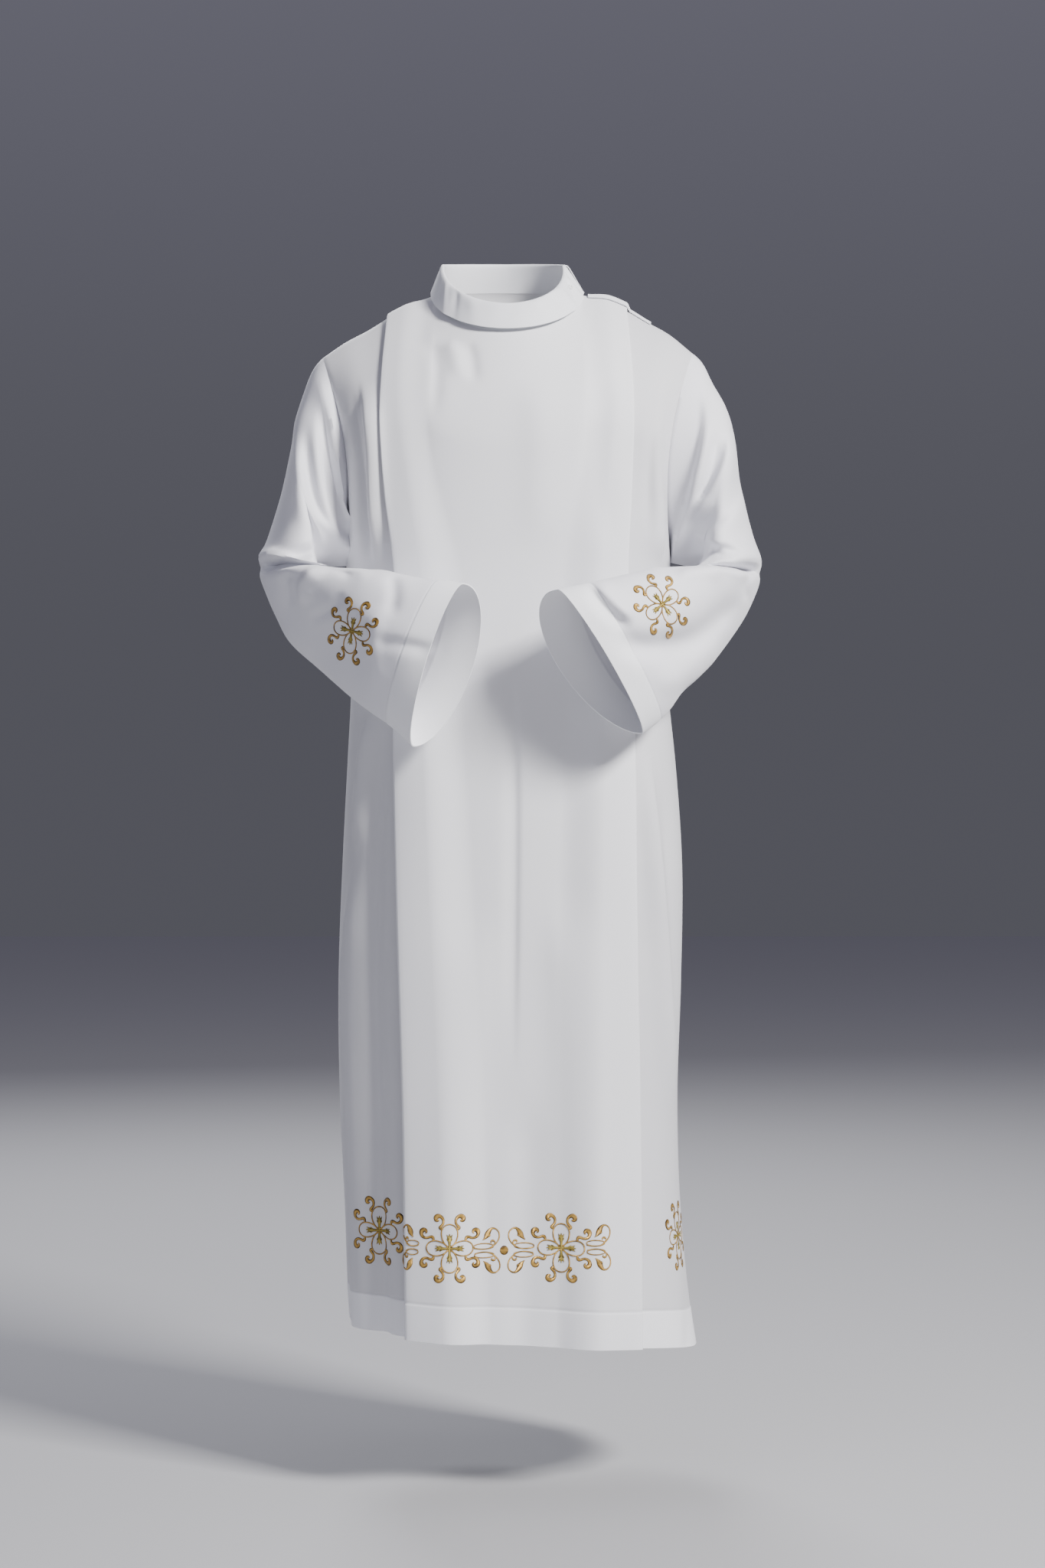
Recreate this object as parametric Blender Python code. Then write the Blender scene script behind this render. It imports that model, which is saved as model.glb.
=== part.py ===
"""Alb: a long white church robe, kept in the hollow form that it has when it is worn.

Metres, +Z up. The front faces -Y, and +X is the wearer's left. The origin is the middle of the
neck opening, level with the inner ends of the shoulder seams. Every piece is a wall of cloth round
a mid-surface that is worked out from the tables below.
"""
import functools
import math

import bmesh
import bpy
import numpy as np
from mathutils import Vector

# Cloth
CLOTH = 0.0014           # thickness of the wall
SEAM_GAP = 0.0003        # clear space between two pieces at a seam
COLLECTION = "alb_robe"

# Neck and shoulders
NECK_HALF_WIDTH = 0.093
NECK_FRONT = (-0.092, -0.055)    # y and z of the neckline's lowest point in front
NECK_BACK = (0.082, 0.020)       # y and z at the nape
NECK_ANGLE = math.radians(27.0)  # column of the neck's corner on the top row
NECK_ANGLE_HEM = math.radians(12.0)
CHEST_AT = 0.55                  # share of the way to the underarm where the chest is reached
ARMHOLE_DEPTH = 0.068            # how far the armhole bows forward and back of the side
ARMHOLE_SCOOP = 0.018            # how far the armhole is cut in towards the chest
SQUARENESS = 0.04                # 0 gives an ellipse, more squares the body's corners off
UNDERARM_Z = -0.345

# Shoulder seam: distance from the middle, height on the wearer's left and on the wearer's right
SHOULDER = (
    # out    left_z   right_z
    (0.093, 0.006, 0.006),
    (0.125, -0.001, -0.008),
    (0.150, -0.011, -0.021),
    (0.182, -0.030, -0.041),
    (0.212, -0.047, -0.057),
    (0.2415, -0.071, -0.077),
)

# Body below the underarm: sides, front and back at each height
BODY = (
    # z      right    left    front    back
    (-0.345, -0.210, 0.212, -0.138, 0.122),
    (-0.520, -0.204, 0.210, -0.145, 0.124),
    (-0.600, -0.208, 0.218, -0.148, 0.130),
    (-0.730, -0.2145, 0.227, -0.152, 0.140),
    (-0.890, -0.220, 0.226, -0.156, 0.150),
    (-1.050, -0.218, 0.221, -0.160, 0.158),
    (-1.180, -0.212, 0.225, -0.164, 0.165),
    (-1.320, -0.206, 0.239, -0.168, 0.172),
    (-1.365, -0.202, 0.246, -0.169, 0.174),
)
HEM_Z = -1.337           # height of the hem at the middle
HEM_FALL = 0.012         # how much lower the hem lies at the wearer's left, and higher at the right
HEM_CORNER = 0.012       # extra drop of the hem at the left side seam

# Knife pleats: place of both fold edges, depth of the underlap and height of the fold
PLEATS = (
    # z      right    left    tuck    lift
    (-0.020, -0.155, 0.154, 0.010, 0.0048),
    (-0.165, -0.160, 0.160, 0.012, 0.0052),
    (-0.260, -0.153, 0.156, 0.018, 0.0075),
    (-0.365, -0.140, 0.150, 0.022, 0.0090),
    (-0.570, -0.140, 0.157, 0.026, 0.0120),
    (-0.770, -0.136, 0.159, 0.030, 0.0140),
    (-1.070, -0.127, 0.162, 0.034, 0.0160),
    (-1.340, -0.122, 0.164, 0.036, 0.0180),
)
PLEAT_LANDING = 0.010    # flat run of the upper layer past the underlap's tip
PLEAT_EASE = 0.050       # run over which the upper layer comes down to the body again

# Soft folds: where each starts and ends, its half width and its height (below 0 is a trough)
FRONT_FOLDS = (
    # x0      z0      x1      z1      width   height
    (-0.183, -0.110, -0.170, -0.400, 0.009, 0.007),
    (-0.198, -0.180, -0.188, -0.400, 0.008, -0.005),
    (0.205, -0.110, 0.192, -0.400, 0.010, 0.007),
    (0.180, -0.160, 0.176, -0.400, 0.009, -0.005),
    (-0.170, -0.420, -0.198, -0.900, 0.010, 0.008),
    (-0.160, -0.500, -0.176, -1.330, 0.011, -0.006),
    (0.176, -0.420, 0.208, -1.000, 0.010, 0.008),
    (0.185, -0.700, 0.196, -1.345, 0.012, -0.006),
    (-0.010, -0.400, -0.010, -1.050, 0.016, -0.004),
    (0.070, -0.800, 0.085, -1.340, 0.030, 0.005),
    (-0.060, -0.850, -0.070, -1.335, 0.030, 0.004),
)
BACK_FOLDS = (
    # x0      z0      x1      z1      width   height
    (-0.180, -0.130, -0.175, -0.600, 0.010, 0.006),
    (0.182, -0.120, 0.178, -0.560, 0.010, 0.007),
    (-0.175, -0.550, -0.190, -1.300, 0.012, 0.009),
    (0.186, -0.500, 0.205, -1.345, 0.012, 0.009),
    (0.006, -0.250, 0.000, -1.300, 0.018, -0.007),
    (-0.070, -0.500, -0.082, -1.335, 0.020, 0.007),
    (0.064, -0.420, 0.078, -1.340, 0.020, 0.008),
    (0.150, -0.800, 0.150, -1.345, 0.012, -0.005),
)

# Sleeves, a row for each section from the armhole to the cuff. The outer point lies on the sleeve's
# outer and lower side, the inner point on its underarm side and then along the top of the forearm.
# front and back give how far the section bows out, and turn how far these sides move along x.
# Widths are counted away from the middle, for both sleeves.
SLEEVE_RIGHT = (
    # outer_x  outer_y  outer_z  inner_x  inner_y  inner_z  front  f_turn  back   b_turn
    (0.2415, 0.000, -0.077, 0.210, 0.000, -0.345, 0.068, 0.000, 0.068, 0.000),
    (0.2540, 0.000, -0.094, 0.226, -0.002, -0.348, 0.070, 0.003, 0.070, 0.003),
    (0.2640, 0.000, -0.118, 0.237, -0.006, -0.351, 0.073, 0.004, 0.072, 0.004),
    (0.2750, 0.000, -0.155, 0.242, -0.012, -0.353, 0.076, 0.004, 0.074, 0.004),
    (0.2810, 0.002, -0.194, 0.243, -0.022, -0.355, 0.078, 0.002, 0.075, 0.004),
    (0.2950, 0.006, -0.255, 0.241, -0.040, -0.356, 0.080, 0.000, 0.074, 0.004),
    (0.3140, 0.010, -0.315, 0.236, -0.062, -0.357, 0.082, 0.000, 0.072, 0.004),
    (0.3255, 0.014, -0.340, 0.229, -0.085, -0.358, 0.084, 0.000, 0.070, 0.004),
    (0.3240, 0.010, -0.362, 0.220, -0.108, -0.360, 0.085, 0.000, 0.066, 0.004),
    (0.3140, 0.000, -0.388, 0.207, -0.130, -0.362, 0.086, 0.002, 0.062, 0.004),
    (0.3000, -0.015, -0.418, 0.191, -0.150, -0.364, 0.082, 0.003, 0.050, 0.003),
    (0.2800, -0.036, -0.452, 0.172, -0.168, -0.366, 0.080, 0.004, 0.044, 0.001),
    (0.2380, -0.086, -0.489, 0.152, -0.184, -0.368, 0.074, 0.005, 0.038, -0.004),
    (0.1970, -0.135, -0.524, 0.130, -0.200, -0.374, 0.066, 0.007, 0.033, -0.010),
    (0.1690, -0.168, -0.545, 0.104, -0.215, -0.380, 0.060, 0.009, 0.030, -0.020),
    (0.1410, -0.190, -0.564, 0.077, -0.230, -0.384, 0.052, 0.012, 0.030, -0.031),
    (0.1150, -0.200, -0.5875, 0.053, -0.240, -0.388, 0.048, 0.015, 0.033, -0.042),
)
SLEEVE_LEFT = (
    # outer_x  outer_y  outer_z  inner_x  inner_y  inner_z  front  f_turn  back   b_turn
    (0.2415, 0.000, -0.071, 0.212, 0.000, -0.345, 0.068, 0.000, 0.068, 0.000),
    (0.2550, 0.000, -0.086, 0.228, -0.002, -0.348, 0.070, 0.003, 0.070, 0.003),
    (0.2670, 0.000, -0.110, 0.239, -0.006, -0.351, 0.073, 0.004, 0.072, 0.004),
    (0.2830, 0.000, -0.140, 0.245, -0.012, -0.353, 0.076, 0.004, 0.074, 0.004),
    (0.2950, 0.002, -0.180, 0.247, -0.022, -0.355, 0.078, 0.002, 0.075, 0.004),
    (0.3040, 0.006, -0.245, 0.246, -0.040, -0.356, 0.080, 0.000, 0.074, 0.004),
    (0.3190, 0.010, -0.304, 0.242, -0.062, -0.357, 0.082, 0.000, 0.072, 0.004),
    (0.3320, 0.014, -0.346, 0.236, -0.085, -0.358, 0.084, 0.000, 0.070, 0.004),
    (0.3300, 0.010, -0.368, 0.228, -0.108, -0.359, 0.085, 0.000, 0.066, 0.004),
    (0.3220, 0.000, -0.390, 0.215, -0.128, -0.360, 0.086, 0.002, 0.062, 0.004),
    (0.3040, -0.020, -0.424, 0.198, -0.150, -0.362, 0.083, 0.003, 0.050, 0.003),
    (0.2700, -0.060, -0.470, 0.181, -0.170, -0.364, 0.078, 0.004, 0.043, 0.001),
    (0.2450, -0.090, -0.496, 0.161, -0.186, -0.370, 0.072, 0.005, 0.038, -0.006),
    (0.2220, -0.116, -0.517, 0.140, -0.201, -0.376, 0.066, 0.006, 0.033, -0.014),
    (0.2040, -0.140, -0.541, 0.118, -0.215, -0.382, 0.060, 0.007, 0.030, -0.026),
    (0.1860, -0.162, -0.558, 0.092, -0.230, -0.389, 0.052, 0.009, 0.030, -0.040),
    (0.1680, -0.180, -0.571, 0.063, -0.240, -0.396, 0.046, 0.011, 0.034, -0.054),
)
SLEEVE_STEPS = 20        # rings of a sleeve, not counting the armhole

# Sleeve folds: section and angle of the middle (0 is the outer side, 90 the front), half sizes
# along the sleeve and round it, and height
SLEEVE_FOLDS = (
    # section  angle  along  round  height
    (7.6, 50.0, 0.60, 34.0, -0.010),
    (8.8, 105.0, 0.70, 30.0, 0.006),
    (3.5, 80.0, 3.00, 14.0, -0.006),
    (3.5, 112.0, 3.00, 13.0, 0.005),
    (11.5, 62.0, 2.40, 13.0, -0.007),
    (12.5, 100.0, 2.60, 14.0, 0.006),
    (14.0, 132.0, 2.00, 13.0, -0.004),
    (5.0, 285.0, 3.00, 16.0, -0.006),
    (7.6, 320.0, 0.80, 30.0, -0.007),
)

# Collar, a row for each direction round the neck (0 is the front, 90 the wearer's left):
# height of the fold above the neckline, and how far the fold leans in over it
COLLAR = (
    # angle    height  lean
    (-180.0, 0.037, 0.009),
    (-90.0, 0.038, 0.010),
    (0.0, 0.036, 0.010),
    (45.0, 0.038, 0.014),
    (90.0, 0.038, 0.022),
    (91.0, 0.037, 0.018),
    (180.0, 0.037, 0.009),
)
# Profile of the collar from the neckline up to the fold and down the fall
COLLAR_PROFILE = (
    # up     out
    (0.00, 0.0000),
    (0.45, -0.0005),
    (0.90, 0.0000),
    (1.00, 0.0024),
    (0.91, 0.0050),
    (0.50, 0.0066),
    (0.06, 0.0084),
)
COLLAR_SLIT = 0.0012     # half the slit between the collar's ends

# Closure on the wearer's left shoulder, and the snap on the collar's end
PLACKET = dict(inner=0.1045, outer=0.186, front=0.014, back=0.085, lift=0.0019, step=0.0045)
RIDGE_MITRE = 1.25
SNAP = dict(radius=0.0036, top_radius=0.0026, depth=0.0018, column=1.5, row=4.6)

# Grid
UPPER_ROWS = 12
LOWER_ROWS = 10
SIDE_COLUMNS = 7
YOKE_COLUMNS = 2
NECK_COLUMNS = 14


def table_columns(rows):
    """Turn a table into one array for each of its columns."""
    return np.array(rows, dtype=float).T


def smooth_step(value):
    """Go from 0 to 1 with a level start and end."""
    value = min(max(value, 0.0), 1.0)
    return value * value * (3.0 - 2.0 * value)


BODY_COLUMNS = table_columns(BODY)
SHOULDER_COLUMNS = table_columns(SHOULDER)


def shoulder_point(out, sign):
    """Point of the shoulder seam at a distance from the middle; sign is +1 on the wearer's left."""
    outs, left_z, right_z = SHOULDER_COLUMNS
    height = np.interp(out, outs, left_z if sign > 0 else right_z)
    return np.array((sign * out, 0.0, height))


def top_point(theta, side):
    """Top edge of a panel: neckline in the middle, shoulder seams beside it."""
    sign = 1.0 if theta >= 0.0 else -1.0
    angle = abs(theta)
    if angle >= NECK_ANGLE:
        share = (angle - NECK_ANGLE) / (math.pi / 2 - NECK_ANGLE)
        out = NECK_HALF_WIDTH + share * (SHOULDER[-1][0] - NECK_HALF_WIDTH)
        return shoulder_point(out, sign)
    turn = angle / NECK_ANGLE * math.pi / 2
    depth, low = NECK_FRONT if side < 0 else NECK_BACK
    side_z = SHOULDER[0][1]
    height = side_z + (low - side_z) * math.cos(turn)
    return np.array((sign * NECK_HALF_WIDTH * math.sin(turn), depth * math.cos(turn), height))


def hem_height(theta):
    """Height of the hem, a little lower at the wearer's left."""
    return HEM_Z - HEM_FALL * math.sin(theta) - HEM_CORNER * max(math.sin(theta), 0.0) ** 6


def section_point(theta, z, side):
    """Point of the body's rounded section at one height."""
    heights, right, left, front, back = BODY_COLUMNS
    low_x, high_x, front_y, back_y = (np.interp(-z, -heights, c) for c in (right, left, front, back))
    depth = front_y if side < 0 else back_y
    across = (math.sin(theta) + SQUARENESS * math.sin(3 * theta)) / (1 - SQUARENESS)
    away = (math.cos(theta) - SQUARENESS * math.cos(3 * theta)) / (1 - SQUARENESS)
    middle = (low_x + high_x) / 2
    return np.array((middle + (high_x - low_x) / 2 * across, depth * away, z))


def body_point(theta, v, side):
    """Plain body surface: v is 0 on the shoulder, 1 at the underarm and 2 at the hem."""
    if v > 1.0:
        z = UNDERARM_Z + (v - 1.0) * (hem_height(theta) - UNDERARM_Z)
        return section_point(theta, z, side)
    top = top_point(theta, side)
    low = section_point(theta, UNDERARM_Z, side)
    forward = 1.0 - (1.0 - min(v / CHEST_AT, 1.0)) ** 2
    point = top + (low - top) * np.array((v, forward, v))
    edge = abs(math.sin(theta)) ** 6
    bow = math.sin(math.pi * v)
    point[0] -= math.copysign(ARMHOLE_SCOOP * bow * edge, theta)
    point[1] += side * ARMHOLE_DEPTH * max(bow, 0.0) ** 0.6 * edge
    return point


def body_normal(theta, v, side):
    """Outward direction of the plain body surface, shared by both panels on the shoulder seam."""
    step = 0.01
    low_theta = max(theta - step, -math.pi / 2)
    high_theta = min(theta + step, math.pi / 2)
    if v <= 0.0 and abs(theta) >= NECK_ANGLE:
        keep = NECK_ANGLE if theta > 0 else -math.pi / 2
        low_theta = max(low_theta, keep)
        high_theta = min(high_theta, keep + math.pi / 2 - (NECK_ANGLE if theta > 0 else 0.0)
                         if theta > 0 else -NECK_ANGLE)
        across = body_point(high_theta, v, side) - body_point(low_theta, v, side)
        normal = np.array((-across[2], 0.0, across[0]))
        return normal / np.linalg.norm(normal)
    across = body_point(high_theta, v, side) - body_point(low_theta, v, side)
    high_v = max(v - step, 0.0)
    down = body_point(theta, min(v + step, 2.0), side) - body_point(theta, high_v, side)
    normal = np.cross(across, down) * side
    return normal / np.linalg.norm(normal)


def soft_fold(x, z, theta, folds):
    """Height of all soft folds together at one place of a panel, none of it on a side seam."""
    total = 0.0
    inside = 1.0 - abs(math.sin(theta)) ** 16
    for x0, z0, x1, z1, width, height in folds:
        along = (z - z0) / (z1 - z0)
        if not 0.0 <= along <= 1.0:
            continue
        open_end = z1 < HEM_Z + 0.02
        fade = smooth_step(along / 0.25) * (1.0 if open_end else smooth_step((1.0 - along) / 0.25))
        middle = x0 + (x1 - x0) * along
        total += height * fade * math.exp(-((x - middle) / width) ** 2)
    return total * inside


@functools.lru_cache(maxsize=None)
def row_places(v, side):
    """Column angles of one row and the x of the plain body at each."""
    angles = np.radians(np.linspace(-76.0, 76.0, 153))
    return angles, np.array([body_point(angle, v, side)[0] for angle in angles])


def theta_at(x, v, side):
    """Column angle at which the plain body has a given x on one row."""
    angles, places = row_places(v, side)
    return float(np.interp(x, places, angles))


def pleat_path(v, side, sign):
    """Columns of one pleat from the side inwards, each an angle and a height over the body."""
    heights, right, left, tucks, lifts = table_columns(PLEATS)
    edges = left if sign > 0 else right
    z = body_point(sign * math.radians(45.0), v, side)[2]
    edge = tuck = lift = 0.0
    for _ in range(3):
        edge, tuck, lift = (float(np.interp(-z, -heights, c)) for c in (edges, tucks, lifts))
        z = body_point(theta_at(edge, v, side), v, side)[2]
    bend = lift / 4
    steps = (
        # inwards from the edge, height
        (-0.016, 0.0),
        (0.35 * tuck, 0.0),
        (tuck - bend, 0.0),
        (tuck, bend),
        (tuck - bend, 2 * bend),
        (bend, 2 * bend),
        (0.0, 3 * bend),
        (bend, 4 * bend),
        (tuck + PLEAT_LANDING, 4 * bend),
    )
    return [(theta_at(edge - sign * inwards, v, side), height, lift) for inwards, height in steps]


def row_columns(v, side):
    """All columns of one row of a panel, from the wearer's right to the wearer's left."""
    share = smooth_step(v - 1.0) if v > 1.0 else 0.0
    neck = NECK_ANGLE + share * (NECK_ANGLE_HEM - NECK_ANGLE)
    halves = []
    for sign in (-1.0, 1.0):
        pleat = pleat_path(v, side, sign)
        start = pleat[0][0]
        columns = []
        for i in range(SIDE_COLUMNS):
            angle = sign * math.pi / 2 + (start - sign * math.pi / 2) * i / SIDE_COLUMNS
            columns.append((angle, 0.0))
        columns += [(angle, height) for angle, height, _ in pleat]
        landing, lift = pleat[-1][0], pleat[-1][2]
        inner = [landing + (sign * neck - landing) * i / (YOKE_COLUMNS + 1)
                 for i in range(1, YOKE_COLUMNS + 1)]
        inner += [sign * neck * (1 - i / (NECK_COLUMNS / 2)) for i in range(NECK_COLUMNS // 2 + 1)]
        reach = PLEAT_EASE / 0.21
        for angle in inner:
            ease = 1.0 - smooth_step(abs(landing - angle) / reach)
            columns.append((angle, lift * ease))
        halves.append(columns)
    right, left = halves
    return right + left[-2::-1]


def panel_grid(side, folds):
    """Mid-surface of the front (side -1) or the back (side +1)."""
    levels = [i / UPPER_ROWS for i in range(UPPER_ROWS + 1)]
    levels += [1.0 + i / LOWER_ROWS for i in range(1, LOWER_ROWS + 1)]
    grid = []
    for v in levels:
        row = []
        for angle, height in row_columns(v, side):
            point = body_point(angle, v, side)
            fold = soft_fold(point[0], point[2], angle, folds)
            row.append(point + body_normal(angle, v, side) * (height + fold))
        grid.append(row)
    return np.array(grid)


def curve_through(rows, position):
    """Smooth value between the rows of a table."""
    last = len(rows) - 1
    first = min(int(position), last - 1)
    share = position - first
    picks = [rows[min(max(first + k, 0), last)] for k in (-1, 0, 1, 2)]
    before, start, end, after = (np.array(p) for p in picks)
    slope_in = (end - before) / 2
    slope_out = (after - start) / 2
    cube, square = share ** 3, share ** 2
    return ((2 * cube - 3 * square + 1) * start + (cube - 2 * square + share) * slope_in
            + (3 * square - 2 * cube) * end + (cube - square) * slope_out)


def sleeve_fold(position, angle):
    """Height of the sleeve's folds at one place."""
    total = 0.0
    for section, middle, along, around, height in SLEEVE_FOLDS:
        away = (math.degrees(angle) - middle + 180.0) % 360.0 - 180.0
        total += height * math.exp(-((position - section) / along) ** 2 - (away / around) ** 2)
    return total


def sleeve_ring(rows, position, sign, count):
    """Section of a sleeve: outer side at angle 0, front at 90, inner side at 180 degrees."""
    values = curve_through(rows, position)
    outer, inner = values[0:3], values[3:6]
    front, front_turn, back, back_turn = values[6:10]
    middle, half = (outer + inner) / 2, (outer - inner) / 2
    ring = []
    for i in range(count):
        angle = 2 * math.pi * i / count
        swing = math.sin(angle)
        fold = sleeve_fold(position, angle)
        if swing >= 0.0:
            bow = np.array((front_turn * swing, -front * swing, 0.0))
        else:
            bow = np.array((-back_turn * swing, -back * swing, 0.0))
        point = middle + half * math.cos(angle) + bow
        away = point - middle
        point = point + away / np.linalg.norm(away) * fold
        ring.append(point * np.array((sign, 1.0, 1.0)))
    return np.array(ring)


def sleeve_grid(rows, sign, front, back):
    """Mid-surface of a sleeve that starts on the armhole of both panels."""
    column = -1 if sign > 0 else 0
    armhole = [front[j][column] for j in range(UPPER_ROWS + 1)]
    armhole += [back[j][column] for j in range(UPPER_ROWS - 1, 0, -1)]
    armhole = np.array(armhole)
    count = len(armhole)
    start = sleeve_ring(rows, 0.0, sign, count)
    rings = [armhole]
    for step in range(1, SLEEVE_STEPS + 1):
        position = (len(rows) - 1) * step / SLEEVE_STEPS
        ring = sleeve_ring(rows, position, sign, count)
        hold = 1.0 - smooth_step(position / 3.5)
        rings.append(ring + (armhole - start) * hold)
    return np.array(rings)


def collar_grid(front, back):
    """Mid-surface of the collar, from its end in front of the slit round to its end behind it."""
    first = SIDE_COLUMNS + len(pleat_path(0.0, -1, 1.0)) + YOKE_COLUMNS
    last = first + NECK_COLUMNS
    neckline = [front[0][c] for c in range(last, first - 1, -1)]
    neckline += [back[0][c] for c in range(first + 1, last + 1)]
    angles, heights, leans = table_columns(COLLAR)
    grid = []
    for i, base in enumerate(neckline):
        half = len(neckline) // 2
        direction = math.degrees(math.atan2(base[0], -base[1]))
        if i > half and direction > 0.0:
            direction = max(direction, 91.0)
        height = np.interp(direction, angles, heights)
        lean = np.interp(direction, angles, leans)
        outward = np.array((base[0], base[1], 0.0)) / math.hypot(base[0], base[1])
        row = []
        for up, out in COLLAR_PROFILE:
            shift = outward * (out - lean * up)
            row.append(base + shift + np.array((0.0, 0.0, height * up)))
        grid.append(row)
    grid = np.array(grid)
    for end, inside in ((0, 1), (-1, -2)):
        pull = grid[inside] - grid[end]
        lengths = np.linalg.norm(pull, axis=1, keepdims=True)
        grid[end] += pull / lengths * COLLAR_SLIT
    return grid


def placket_grid():
    """Mid-surface of the underlap strip, laid over the shoulder and the pleat that crosses it."""
    stops = [column for column in row_columns(0.0, -1) if column[0] > 0.0]
    pleat = pleat_path(0.0, -1, 1.0)
    side_foot, edge, near_edge, landing = pleat[0], pleat[6], pleat[7], pleat[8]
    upper = [column for column in stops if column[0] <= landing[0]]
    upper += [near_edge[:2], (edge[0], near_edge[1])]
    foot = theta_at(PLEATS[0][2] + PLACKET["step"], 0.0, -1)
    path = sorted(upper) + [(foot, 0.0)] + sorted(c for c in stops if c[0] >= side_foot[0])
    low, high = (theta_at(PLACKET[end], 0.0, -1) for end in ("inner", "outer"))
    low_height = np.interp(low, [c[0] for c in upper], [c[1] for c in upper])
    path = [c for c in path if low + 0.02 < c[0] < high - 0.02]
    path = [(low, low_height)] + path + [(high, 0.0)]
    levels = (
        # side, share of the way down, mitre
        (-1, PLACKET["front"], 1.0),
        (-1, 0.0, RIDGE_MITRE),
        (1, PLACKET["back"] / 2, 1.0),
        (1, PLACKET["back"], 1.0),
    )
    grid = []
    for side_sign, v, mitre in levels:
        row = []
        for angle, height in path:
            lift = (height + PLACKET["lift"]) * mitre
            row.append(body_point(angle, v, side_sign) + body_normal(angle, v, side_sign) * lift)
        grid.append(row)
    return np.array(grid)


def grid_normals(grid, closed):
    """Direction at each point of a grid, from the faces round it."""
    rows, columns = grid.shape[:2]
    normals = np.zeros_like(grid)
    for i in range(rows - 1):
        for j in range(columns if closed else columns - 1):
            k = (j + 1) % columns
            corners = ((i, j), (i + 1, j), (i + 1, k), (i, k))
            a, b, c, d = (grid[p] for p in corners)
            normal = np.cross(c - a, d - b)
            for place in corners:
                normals[place] += normal
    return normals


def spot(point):
    """Key that two points on one seam share."""
    return tuple(int(round(value * 1e5)) for value in point)


def share_normals(grids):
    """Give all pieces that meet at a seam the same direction there."""
    sums = {}
    for grid, normals in grids:
        for point, normal in zip(grid.reshape(-1, 3), normals.reshape(-1, 3)):
            key = spot(point)
            sums[key] = sums.get(key, 0.0) + normal / (np.linalg.norm(normal) + 1e-12)
    for grid, normals in grids:
        for index in np.ndindex(grid.shape[:2]):
            total = sums[spot(grid[index])]
            normals[index] = total / np.linalg.norm(total)


def inset_edges(grid, normals, closed):
    """Draw each edge of a piece back from its seam by half the gap."""
    rows, columns = grid.shape[:2]
    shift = np.zeros_like(grid)

    def pull(index, inside, before, after):
        along = grid[after] - grid[before]
        across = np.cross(normals[index], along)
        across /= np.linalg.norm(across)
        if np.dot(across, grid[inside] - grid[index]) < 0.0:
            across = -across
        shift[index] += across * SEAM_GAP / 2

    for j in range(columns):
        before = (j - 1) % columns if closed else max(j - 1, 0)
        after = (j + 1) % columns if closed else min(j + 1, columns - 1)
        pull((0, j), (1, j), (0, before), (0, after))
        pull((rows - 1, j), (rows - 2, j), (rows - 1, before), (rows - 1, after))
    if not closed:
        for i in range(rows):
            before, after = max(i - 1, 0), min(i + 1, rows - 1)
            pull((i, 0), (i, 1), (before, 0), (after, 0))
            pull((i, columns - 1), (i, columns - 2), (before, columns - 1), (after, columns - 1))
    return grid + shift


def cloth_material(name, colour):
    """Plain Principled material of one piece."""
    material = bpy.data.materials.new(name + "_finish")
    material.use_nodes = True
    shader = material.node_tree.nodes["Principled BSDF"]
    shader.inputs["Base Color"].default_value = (*colour, 1.0)
    shader.inputs["Roughness"].default_value = 0.65
    shader.inputs["Metallic"].default_value = 0.0
    return material


def add_object(name, work, colour):
    """Link a finished mesh as a named object of the alb."""
    bmesh.ops.recalc_face_normals(work, faces=work.faces)
    mesh = bpy.data.meshes.new(name)
    work.to_mesh(mesh)
    work.free()
    mesh.shade_smooth()
    mesh.set_sharp_from_angle(angle=math.radians(50.0))
    mesh.materials.append(cloth_material(name, colour))
    item = bpy.data.objects.new(name, mesh)
    bpy.data.collections[COLLECTION].objects.link(item)
    return item


def add_wall(name, grid, normals, closed, thickness, colour):
    """Close a mid-surface into a wall of cloth."""
    rows, columns = grid.shape[:2]
    work = bmesh.new()
    sides = []
    for offset in (thickness / 2, -thickness / 2):
        skin = grid + normals * offset
        sides.append([[work.verts.new(skin[i, j]) for j in range(columns)] for i in range(rows)])
    outer, inner = sides
    spans = columns if closed else columns - 1
    for i in range(rows - 1):
        for j in range(spans):
            k = (j + 1) % columns
            work.faces.new((outer[i][j], outer[i + 1][j], outer[i + 1][k], outer[i][k]))
            work.faces.new((inner[i][j], inner[i][k], inner[i + 1][k], inner[i + 1][j]))
    for j in range(spans):
        k = (j + 1) % columns
        for i in (0, rows - 1):
            work.faces.new((outer[i][j], outer[i][k], inner[i][k], inner[i][j]))
    if not closed:
        for i in range(rows - 1):
            for j in (0, columns - 1):
                work.faces.new((outer[i][j], inner[i][j], inner[i + 1][j], outer[i + 1][j]))
    return add_object(name, work, colour)


def add_snap(collar, normals, colour):
    """Small domed press snap on the fall of the collar, close to its end."""
    row, column = SNAP["column"], SNAP["row"]
    i, j = int(row), int(column)
    share_i, share_j = row - i, column - j
    weights = (((i, j), (1 - share_i) * (1 - share_j)), ((i + 1, j), share_i * (1 - share_j)),
               ((i, j + 1), (1 - share_i) * share_j), ((i + 1, j + 1), share_i * share_j))
    point = sum(collar[place] * weight for place, weight in weights)
    normal = -sum(normals[place] * weight for place, weight in weights)
    normal /= np.linalg.norm(normal)
    seat = point + normal * (CLOTH / 2 + 2 * SEAM_GAP + SNAP["depth"] / 2)
    work = bmesh.new()
    bmesh.ops.create_cone(work, cap_ends=True, segments=16, radius1=SNAP["radius"],
                          radius2=SNAP["top_radius"], depth=SNAP["depth"])
    turn = Vector((0.0, 0.0, 1.0)).rotation_difference(Vector(normal)).to_matrix()
    bmesh.ops.rotate(work, verts=work.verts, matrix=turn)
    bmesh.ops.translate(work, verts=work.verts, vec=Vector(seat))
    return add_object("collar_snap", work, colour)


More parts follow.
